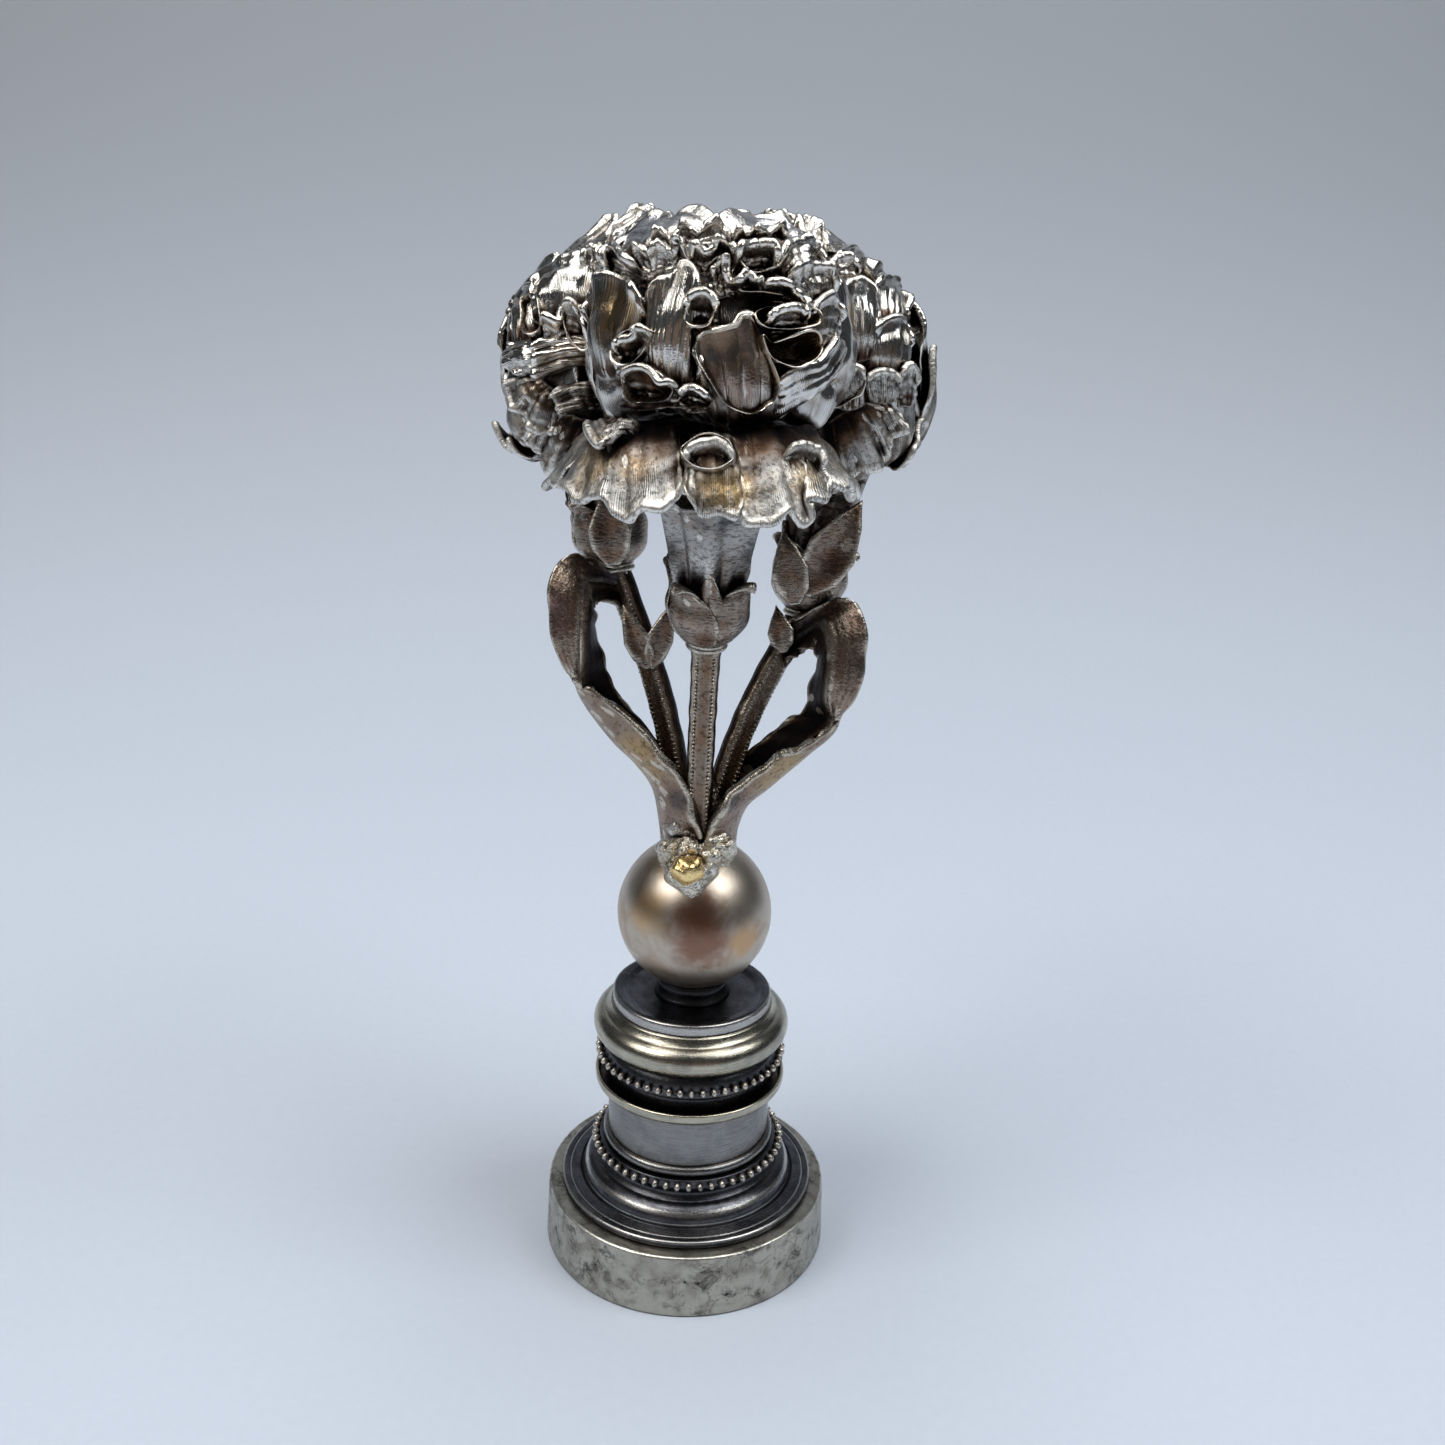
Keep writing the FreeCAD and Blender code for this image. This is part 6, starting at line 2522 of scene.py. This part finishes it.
RIGHT_PETALS = (
    LaidPetal(
        "notch_rim", Globe.BOWL, "side",
        root=((-92, 0.675), (-71, 0.637), (-29, 0.571)),
        rim=((-84, 0.75), (-66, 0.754), (-22, 0.721), (-38, 0.688), (-27, 0.637), (-29, 0.6)),
        lift=(0.1, 0.6), belly=0.2, swing=0.25, waves=3.0, flutes=6,
    ),
    LaidPetal(
        "gold_tall", Globe.BOWL, "side",
        root=((-105, 0.508), (-95, 0.483), (-83, 0.483)),
        rim=((-96, 0.617), (-86, 0.646), (-77, 0.642), (-74, 0.604), (-78, 0.562)),
        lift=(0.3, 1.2), belly=0.8, swing=0.1, waves=1.5, flutes=6,
    ),
    LaidPetal(
        "knob", Globe.BOWL, "crown",
        root=((-94, 0.658), (-83, 0.637), (-70, 0.625)),
        rim=((-96, 0.679), (-86, 0.708), (-75, 0.704), (-74, 0.662)),
        lift=(0.4, 1.4), swing=0.1, waves=1.0,
    ),
    LaidPetal(
        "outer_high", Globe.BOWL, "side",
        root=((-75, 0.546), (-63, 0.521), (-33, 0.487)),
        rim=((-65, 0.625), (-35, 0.629), (-29, 0.592), (-31, 0.562), (-45, 0.529)),
        lift=(0.2, 0.8), swing=0.25, waves=2.5, flutes=6,
    ),
    LaidPetal(
        "hatched", Globe.BOWL, "side",
        root=((-91, 0.454), (-80, 0.425), (-62, 0.408)),
        rim=((-87, 0.529), (-76, 0.546), (-64, 0.537), (-60, 0.508), (-63, 0.471)),
        lift=(0.2, 0.9), belly=0.7, flutes=5,
    ),
    LaidPetal(
        "leaflike", Globe.BOWL, "guard",
        root=((-114, 0.412), (-106, 0.396), (-98, 0.396)),
        rim=((-121, 0.442), (-113, 0.463), (-106, 0.475), (-100, 0.475), (-97, 0.446)),
        lift=(0.7, 1.7), swing=0.1, flutes=7,
    ),
    LaidPetal(
        "ribbed", Globe.BOWL, "guard",
        root=((-94, 0.4), (-85, 0.379), (-75, 0.375)),
        rim=((-96, 0.446), (-89, 0.454), (-81, 0.438), (-79, 0.412)),
        lift=(0.3, 1.0), belly=0.3, swing=0.1, flutes=8,
    ),
    LaidPetal(
        "curl", Globe.BOWL, "guard",
        root=((-77, 0.358), (-68, 0.346), (-62, 0.35)),
        rim=((-77, 0.429), (-71, 0.442), (-66, 0.425), (-65, 0.388)),
        lift=(0.3, 0.9), belly=0.2, swing=0.1, waves=1.0,
    ),
    LaidPetal(
        "fan_low", Globe.BOWL, "guard",
        root=((-118, 0.367), (-102, 0.392), (-82, 0.375)),
        rim=(
            (-123, 0.275), (-112, 0.237), (-100, 0.246), (-90, 0.258), (-89, 0.296), (-80, 0.308),
            (-77, 0.35),
        ),
        lift=(0.1, 0.5), belly=0.5, swing=0.35, waves=4.0, flutes=5,
    ),
    LaidPetal(
        "right_fan", Globe.BOWL, "crown",
        root=((131, 0.792), (163, 0.825), (-118, 0.812), (-91, 0.8)),
        rim=(
            (126, 0.842), (120, 0.871), (112, 0.892), (92, 0.912), (59, 0.921), (25, 0.912),
            (-21, 0.908),
        ),
        lift=(0.2, 0.8), belly=0.7, swing=0.2, waves=2.5, flutes=6,
    ),
    LaidPetal(
        "right_lobes", Globe.BOWL, "crown",
        root=((-116, 0.796), (-100, 0.767), (-81, 0.754)),
        rim=((-99, 0.867), (-67, 0.887), (-59, 0.858), (-70, 0.808), (-83, 0.754)),
        lift=(0.3, 1.1), swing=0.2, curl=0.25, flutes=8,
    ),
)

FRONT_HOLLOWS = (
    Hollow(
        "bowl_left", Globe.DOME,
        rim=(
            (-9, 0.392), (-7, 0.425), (-1, 0.433), (5, 0.45), (8, 0.471), (11, 0.458), (14, 0.404),
            (18, 0.358), (21, 0.308), (19, 0.258), (12, 0.233), (3, 0.254), (-3, 0.308),
            (-8, 0.358),
        ),
        root=(19, 0.242), lift=1.25, flutes=9,
    ),
    Hollow(
        "bowl_right", Globe.DOME,
        rim=(
            (14, 0.425), (18, 0.408), (25, 0.425), (31, 0.442), (36, 0.438), (38, 0.408),
            (34, 0.379), (27, 0.358), (20, 0.367), (16, 0.388),
        ),
        root=(30, 0.375), lift=1.5, flutes=5,
    ),
    Hollow(
        "swirl_gap", Globe.DOME,
        rim=(
            (12, 0.483), (17, 0.496), (26, 0.492), (32, 0.504), (37, 0.496), (36, 0.467),
            (26, 0.45), (17, 0.446), (13, 0.458),
        ),
        root=(31, 0.479), lift=1.3,
    ),
    Hollow(
        "oval_loop", Globe.DOME,
        rim=(
            (-13, 0.475), (-12, 0.508), (-8, 0.525), (-4, 0.512), (-4, 0.479), (-6, 0.45),
            (-10, 0.446), (-13, 0.458),
        ),
        root=(-9, 0.487), lift=1.2, depth=1.0,
    ),
    Hollow(
        "arch", Globe.DOME,
        rim=(
            (-38, 0.3), (-36, 0.325), (-29, 0.342), (-23, 0.329), (-20, 0.308), (-18, 0.292),
            (-21, 0.267), (-28, 0.258), (-36, 0.263),
        ),
        root=(-33, 0.258), lift=1.3, depth=1.1, flutes=5,
    ),
    Hollow(
        "small_arch", Globe.DOME,
        rim=((-16, 0.258), (-13, 0.283), (-8, 0.292), (-4, 0.271), (-5, 0.246), (-12, 0.242)),
        root=(-10, 0.237), lift=1.0, depth=0.8, flutes=3,
    ),
    Hollow(
        "brown_fold", Globe.DOME,
        rim=(
            (-43, 0.4), (-38, 0.425), (-32, 0.433), (-29, 0.417), (-29, 0.383), (-34, 0.358),
            (-40, 0.354), (-43, 0.371),
        ),
        root=(-40, 0.379), lift=1.2, depth=1.0, flutes=4,
    ),
    Hollow(
        "ring", Globe.SKIRT,
        rim=(
            (-12, 0.629), (-9, 0.592), (-4, 0.575), (2, 0.596), (4, 0.646), (3, 0.7), (-1, 0.733),
            (-6, 0.729), (-10, 0.704), (-12, 0.667),
        ),
        root=(-3, 0.646), lift=1.7, depth=1.0, flutes=6,
    ),
    Hollow(
        "upper_gap", Globe.DOME,
        rim=(
            (5, 0.571), (10, 0.588), (19, 0.588), (26, 0.575), (30, 0.554), (24, 0.537),
            (15, 0.542), (7, 0.542),
        ),
        root=(22, 0.588), lift=1.0, depth=1.1,
    ),
    Hollow(
        "high_lobe", Globe.DOME,
        rim=(
            (7, 0.617), (11, 0.658), (18, 0.679), (24, 0.667), (24, 0.629), (18, 0.604),
            (12, 0.596),
        ),
        root=(19, 0.65), lift=1.1, depth=0.9,
    ),
)

LEFT_HOLLOWS = (
    Hollow(
        "left_void", Globe.BOWL,
        rim=(
            (56, 0.567), (63, 0.588), (74, 0.558), (79, 0.517), (75, 0.496), (67, 0.504),
            (60, 0.542),
        ),
        root=(33, 0.529), lift=1.2, depth=2.0,
    ),
    Hollow(
        "left_pocket", Globe.BOWL,
        rim=(
            (92, 0.546), (95, 0.571), (101, 0.567), (107, 0.537), (110, 0.508), (104, 0.492),
            (97, 0.512),
        ),
        root=(99, 0.525), lift=1.3, depth=1.4, flutes=3,
    ),
)

RIGHT_HOLLOWS = (
    Hollow(
        "leaflike_streaks", Globe.BOWL,
        rim=(
            (-119, 0.442), (-112, 0.458), (-105, 0.467), (-99, 0.471), (-98, 0.446), (-102, 0.425),
            (-111, 0.412), (-117, 0.421),
        ),
        root=(-101, 0.438), lift=1.7, depth=0.8, flutes=5,
    ),
    Hollow(
        "right_void", Globe.BOWL,
        rim=(
            (-91, 0.742), (-75, 0.742), (-67, 0.704), (-63, 0.667), (-64, 0.633), (-75, 0.642),
            (-79, 0.675), (-87, 0.704),
        ),
        root=(-23, 0.692), lift=1.2, depth=2.0,
    ),
)

LEFT_NEAR = (
    (0.44, -2.5, 35.25), (0, -2.6, 36.67), (-0.6, -2.6, 38.64), (-1.51, -2.4, 40.37),
    (-3.03, -2, 41.87), (-4.54, -1.6, 43.62), (-6.54, -1.2, 45.09), (-8.51, -1, 46.11),
    (-9.77, -0.6, 47.6), (-10.66, -0.2, 49.73), (-10.99, 0.2, 52.11), (-10.81, 0.6, 53.75),
    (-10.25, 1, 54.71), (-9.51, 1.6, 55.05), (-8.45, 2, 54.86), (-7.01, 2.4, 54.47),
    (-5.75, 2.8, 53.88),
)
LEFT_CREASE = (
    (-2.35, 0.4, 33.63), (-2.55, 0.5, 35.3), (-3.12, 0.5, 38.02), (-4.46, 0.5, 39.99),
    (-6.04, 0.5, 41.54), (-7.64, 0.4, 43.6), (-8.6, 0.1, 45.26), (-8.9, -0.3, 46.6),
    (-8.9, -0.6, 48.05), (-8.9, -0.7, 49.75), (-8.8, -0.4, 51.6), (-8.7, 0.0, 52.75),
    (-8.5, 0.6, 53.3), (-8.2, 1.3, 53.25), (-7.6, 2.0, 53.1), (-6.84, 2.8, 52.84),
    (-5.75, 3.2, 52.37),
)
LEFT_FAR = (
    (-0.15, 2.4, 33.47), (-0.19, 2.5, 34.98), (-0.86, 2.5, 37.46), (-1.86, 2.5, 39.49),
    (-3.44, 2.5, 41.2), (-4.99, 2.3, 43.23), (-6.33, 2, 44.87), (-6.93, 1.8, 46.22),
    (-7.53, 1.6, 47.81), (-7.95, 1.4, 49.39), (-8.09, 1.3, 50.55), (-8.15, 1.3, 51.18),
    (-8.08, 1.4, 51.56), (-7.9, 1.5, 51.72), (-7.32, 1.9, 51.67), (-6.53, 2.3, 51.45),
    (-5.71, 2.7, 51.07),
)
RIGHT_NEAR = (
    (0.59, -2.5, 35.14), (1.07, -2.8, 36.52), (1.75, -2.8, 38.14), (2.82, -2.6, 39.42),
    (4.25, -2.2, 40.62), (5.69, -1.8, 41.57), (7.28, -1.4, 42.27), (8.97, -1, 43.28),
    (10.23, -0.6, 44.7), (11.08, -0.2, 46.15), (11.56, 0.2, 48.1), (11.62, 0.6, 50.02),
    (11.26, 1, 51.55), (10.52, 1.6, 52.45), (9.28, 2, 52.31), (7.75, 2.4, 51.45),
    (6.33, 2.8, 50.59),
)
RIGHT_CREASE = (
    (2.77, 0.4, 33.69), (2.92, 0.5, 35.21), (3.61, 0.5, 37.02), (5.12, 0.5, 38.51),
    (6.74, 0.5, 40.1), (8.18, 0.4, 41.57), (9.3, 0.2, 42.83), (9.7, -0.2, 43.94),
    (9.4, -0.5, 45.5), (9.4, -0.7, 47.05), (9.5, -0.4, 48.7), (9.3, 0.1, 50.1),
    (9.0, 0.7, 50.8), (8.6, 1.4, 50.7), (7.9, 2.1, 50.1), (7.0, 2.8, 49.27), (5.98, 3.2, 48.34),
)
RIGHT_FAR = (
    (1.16, 2.4, 33.51), (1.37, 2.5, 35.03), (2.06, 2.5, 37.42), (2.89, 2.5, 39.37),
    (3.86, 2.4, 40.67), (4.97, 2.3, 41.55), (6.18, 2.2, 42.79), (7.48, 2, 43.48), (8, 1.8, 44.89),
    (8.34, 1.6, 46.67), (8.56, 1.5, 47.87), (8.4, 1.5, 48.64), (8.02, 1.6, 48.86),
    (7.49, 1.8, 48.73), (6.8, 2.2, 48.08), (6.11, 2.6, 47.21), (5.46, 3, 46.44),
)


@dataclass
class Neck:
    """Worn neck where stems and leaves join, with its solder on the ball."""

    ball_middle: float = 28.25
    ball_radius: float = 5.86

    def neck(self) -> Cloud:
        """Flared, lumpy neck.

        Returns:
            The mesh in the making.
        """
        outline = smooth_path(
            np.array(
                [
                    (0.0, 33.2), (2.2, 33.2), (3.0, 33.35), (2.62, 33.9), (2.42, 34.7), (2.5, 35.5),
                    (2.35, 36.4), (1.7, 37.4), (1.3, 38.4), (0.9, 39.1), (0.0, 39.2),
                ]
            ),
            70,
        )
        outline[:, 0] = np.maximum(outline[:, 0], 0)
        cloud = Lathe(segments=96, wobble=0.16, seed=71).turn(outline)
        points = cloud.points[0]
        chance = np.random.default_rng(72)
        for _ in range(60):
            angle, height = chance.uniform(0, math.tau), chance.uniform(33.2, 37)
            spot = np.array([2.5 * math.cos(angle), 2.5 * math.sin(angle), height])
            push = chance.uniform(-0.24, 0.22) * np.exp(
                -np.sum((points - spot) ** 2, 1) / (2 * chance.uniform(0.25, 0.6) ** 2)
            )
            level = points.copy()
            level[:, 2] = 0
            points += unit(level) * push[:, None]
        return cloud

    def blob(
        self,
        polar: float,
        aside: float,
        wide: float,
        high: float,
        tall: float,
        point: float,
        seed: int,
    ) -> Cloud:
        """Lump of solder that lies on the front of the ball.

        Args:
            polar: Degrees from the ball's top towards the front.
            aside: Distance to the right of the middle.
            wide: Half its width.
            high: Half its length down the ball.
            tall: Height over the ball.
            point: Length of the point at its lower end.
            seed: Seed of its unevenness.

        Returns:
            The mesh in the making.
        """
        cloud = Cloud()
        rows, columns = 26, 72
        chance = np.random.default_rng(seed)
        phase = chance.uniform(0, math.tau, 8)
        angle = np.linspace(0, math.tau, columns, endpoint=False)[None, :]
        share = np.linspace(0, 1, rows)[:, None]
        edge = 1 + 0.05 * np.sin(3 * angle + phase[0]) + 0.05 * np.sin(5 * angle + phase[1])
        x = wide * share * edge * np.cos(angle)
        y = high * share * edge * np.sin(angle)
        y = y - point * share * np.clip(-np.sin(angle), 0, 1) ** 5
        rise = tall * (1 - share**4)
        for k in range(7):
            waver = np.sin(x * (2.2 + k * 0.7) + phase[k])
            waver = waver * np.cos(y * (2.6 + k * 0.6) + phase[7 - k])
            rise = rise + 0.055 * waver * (1 - share**2)
        middle = math.radians(polar)
        theta = middle - y / self.ball_radius
        phi = (x + aside) / self.ball_radius
        radius = self.ball_radius + rise - 0.25 * share**6
        points = np.stack(
            [
                radius * np.sin(phi),
                -radius * np.sin(theta) * np.cos(phi),
                self.ball_middle + radius * np.cos(theta) * np.cos(phi),
            ],
            -1,
        )
        inward = (points - np.array([0, 0, self.ball_middle])) * 0.12
        under = points - inward * (1 - share[..., None])
        whole = np.concatenate([points, under[::-1]], 0)
        cloud.take(whole.reshape(-1, 3), grid_faces(len(whole), columns, ring=True))
        return cloud

    def build(self, finishes: Finishes) -> None:
        """Makes and reports the neck and its solder.

        Args:
            finishes: The seal's finishes.
        """
        neck = self.neck().piece("worn_neck", finishes.neck)
        settle(neck, "cast_silver", "bouquet_neck", "stem_web")
        settle(
            self.blob(32, -0.4, 2.1, 1.75, 1.15, 0.8, 73).piece("solder_shield", finishes.lump),
            "solder_gold",
            "solder_tab",
        )
        settle(
            self.blob(39, -0.5, 1.3, 1.1, 2.0, 0.0, 74).piece("rubbed_lump", finishes.gold),
            "solder_gold",
        )
        for seed, polar, aside, wide, tall in (
            (75, 21, -1.5, 1.5, 1.5), (76, 19, 1.4, 1.5, 1.9), (77, 26, 0.7, 1.2, 1.5),
            (78, 24, -0.5, 1.0, 1.9),
        ):
            lump = self.blob(polar, aside, wide, 1.0, tall, 0.0, seed)
            settle(lump.piece(f"melted_knot_{seed}", finishes.lump), "cast_silver")


@dataclass(frozen=True)
class Bouquet:
    """Three sprigs of carnation with two leaves and their bracts."""

    sprigs: tuple[Sprig, ...] = (
        Sprig("front", -88, 10, -9, 6.25, 15.2, 9.6, 7.4, 16.4),
        Sprig("left", 150, 12, -12, 7.5, 17.9, 7.4, 7.1, 17.8),
        Sprig("right", 30, 10, -18, 8.3, 14.9, 10.3, 6.95, 18.3),
    )

    def build(self, finishes: Finishes) -> None:
        """Makes and reports the whole bouquet.

        Args:
            finishes: The seal's finishes.
        """
        dress = (
            (FRONT_PETALS, FRONT_HOLLOWS, 0.0, 0.0),
            (LEFT_PETALS, LEFT_HOLLOWS, 120.0, 0.24),
            (RIGHT_PETALS, RIGHT_HOLLOWS, -120.0, 0.16),
        )
        for number, (sprig, parts) in enumerate(zip(self.sprigs, dress)):
            Stem(sprig, seed=41 + number).build(finishes)
            Blossom(sprig, sprig.name == "front", 2 + number, *parts).build(finishes)
        leaves = (
            Leaf("left_blade", LEFT_NEAR, LEFT_CREASE, LEFT_FAR, seed=61),
            Leaf("right_blade", RIGHT_NEAR, RIGHT_CREASE, RIGHT_FAR, seed=62),
        )
        for leaf, node in zip(leaves, ("left_leaf", "right_leaf")):
            settle(leaf.blade().piece(leaf.name, finishes.leaf), "cast_silver", node)
        _, left, right = self.sprigs
        front = np.array([0.0, -1.0, 0.0])
        for name, sprig, share, lean, length, node in (
            ("bract_left_outer", left, 0.64, -24.0, 4.75, "left_bract_outer"),
            ("bract_left_inner", left, 0.64, 18.0, 5.0, "left_bract_inner"),
            ("bract_right", right, 0.85, -12.0, 3.25, "right_bract"),
        ):
            bract = Bract(name, sprig.stem_middle(share) + front * 1.15, lean, length)
            settle(bract.blade().piece(name, finishes.cup), "cast_silver", node)
        for name, foot, lean, length, width in (
            ("long_sepal_right", (7.0, 1.3, 52.9), 30.0, 7.6, 3.6),
            ("low_sepal_right", (6.5, 0.9, 52.2), -12.0, 5.2, 2.6),
            ("flap_left", (-6.6, 0.9, 54.6), -4.0, 5.4, 3.0),
        ):
            bract = Bract(name, np.array(foot), lean, length, width)
            settle(bract.blade().piece(name, finishes.cup), "cast_silver")
        Neck().build(finishes)


@dataclass
class Studio:
    """Pale sweep, soft lights and the camera at the photograph's angle."""

    eye: tuple[float, float, float] = (-0.05, -99.85, 76.88)
    pitch: float = 18.54
    yaw: float = 0.94
    roll: float = 2.14
    lens: float = 36.05

    def camera(self) -> None:
        """Places the camera."""
        pitch, yaw, roll = (math.radians(value) for value in (self.pitch, self.yaw, self.roll))
        forward = Vector(
            (math.sin(yaw) * math.cos(pitch), math.cos(yaw) * math.cos(pitch), -math.sin(pitch))
        )
        right = forward.cross(Vector((0, 0, 1))).normalized()
        up = right.cross(forward)
        turned_right = right * math.cos(roll) + up * math.sin(roll)
        turned_up = up * math.cos(roll) - right * math.sin(roll)
        axes = Matrix((turned_right, turned_up, -forward)).transposed()
        data = bpy.data.cameras.new("view")
        data.lens = self.lens
        data.sensor_width = 36.0
        data.clip_start = 0.005
        data.clip_end = 10.0
        camera = bpy.data.objects.new("view", data)
        camera.matrix_world = Matrix.Translation(Vector(self.eye) * MM) @ axes.to_4x4()
        bpy.context.scene.collection.objects.link(camera)
        bpy.context.scene.camera = camera

    def sweep(self) -> None:
        """Pale floor that curves up behind the object, painted darker towards the back and up the
        wall.
        """
        line = [(-0.22, 0.0), (0.10, 0.0)]
        line += [
            (0.10 + 0.25 * math.sin(angle), 0.25 - 0.25 * math.cos(angle))
            for angle in np.linspace(0.1, math.pi / 2, 16)
        ]
        line += [(0.35, 0.9)]
        points, faces = [], []
        for y, z in line:
            points += [(-0.30, y, z), (0.30, y, z)]
        for k in range(len(line) - 1):
            faces.append((2 * k, 2 * k + 1, 2 * k + 3, 2 * k + 2))
        mesh = bpy.data.meshes.new("sweep")
        mesh.from_pydata(points, [], faces)
        mesh.shade_smooth()
        shader = Shader("pale_card")
        grain = shader.noise(0.8, 2.0, 0.5)
        near = shader.mix(grain, rgb(0.56, 0.615, 0.70), rgb(0.60, 0.655, 0.74))
        depth = shader.get("SeparateXYZ", None, {"Vector": shader.place()}, "Y")
        height = shader.get("SeparateXYZ", None, {"Vector": shader.place()}, "Z")
        # Painted shade: the sweep darkens towards the back and up, as the light falls off.
        back = shader.spread(depth + height, 90.0, 480.0)
        colour = shader.mix(back, near, rgb(0.36, 0.385, 0.42))
        mesh.materials.append(shader.finish({"Base Color": colour, "Roughness": 0.85}))
        floor = bpy.data.objects.new("sweep", mesh)
        bpy.context.scene.collection.objects.link(floor)

    def light(
        self, name: str, place: tuple[float, float, float], size: tuple[float, float], power: float,
        colour: tuple[float, float, float] = (1.0, 1.0, 1.0),
    ) -> None:
        """Adds a soft rectangular light that faces the object.

        Args:
            name: Name of the light.
            place: Position in metres.
            size: Width and height in metres.
            power: Strength in watts.
            colour: Tint.
        """
        data = bpy.data.lights.new(name, "AREA")
        data.shape = "RECTANGLE"
        data.size, data.size_y = size
        data.energy = power
        data.color = colour
        light = bpy.data.objects.new(name, data)
        aim = Vector((0, 0, 0.045)) - Vector(place)
        light.matrix_world = (
            Matrix.Translation(Vector(place)) @ aim.to_track_quat("-Z", "Y").to_matrix().to_4x4()
        )
        bpy.context.scene.collection.objects.link(light)

    def build(self) -> None:
        """Sets up the studio."""
        self.camera()
        self.sweep()
        world = bpy.data.worlds.new("room")
        world.use_nodes = True
        world.node_tree.nodes["Background"].inputs["Color"].default_value = rgb(0.80, 0.88, 1.0)
        world.node_tree.nodes["Background"].inputs["Strength"].default_value = 0.05
        bpy.context.scene.world = world
        bpy.context.scene.view_settings.view_transform = "Standard"
        self.light("left_window", (-0.30, -0.16, 0.42), (0.28, 0.20), 1.0, (1.0, 0.98, 0.95))
        self.light("right_window", (0.30, -0.10, 0.42), (0.28, 0.20), 0.9, (0.95, 0.98, 1.0))
        self.light("ceiling", (0.0, -0.02, 0.50), (0.36, 0.28), 1.55, (0.97, 0.98, 1.0))
        self.light("warm_room", (0.0, -0.55, 0.06), (0.9, 0.3), 0.09, (1.0, 0.64, 0.38))


def main() -> None:
    """Builds the studio and the seal, piece by piece."""
    logging.basicConfig(level=logging.INFO)
    Studio().build()
    finishes = Finishes()
    Foot().build(finishes)
    Gallery().build(finishes)
    Ball().build(finishes)
    Bouquet().build(finishes)


if __name__ == "__main__":
    main()
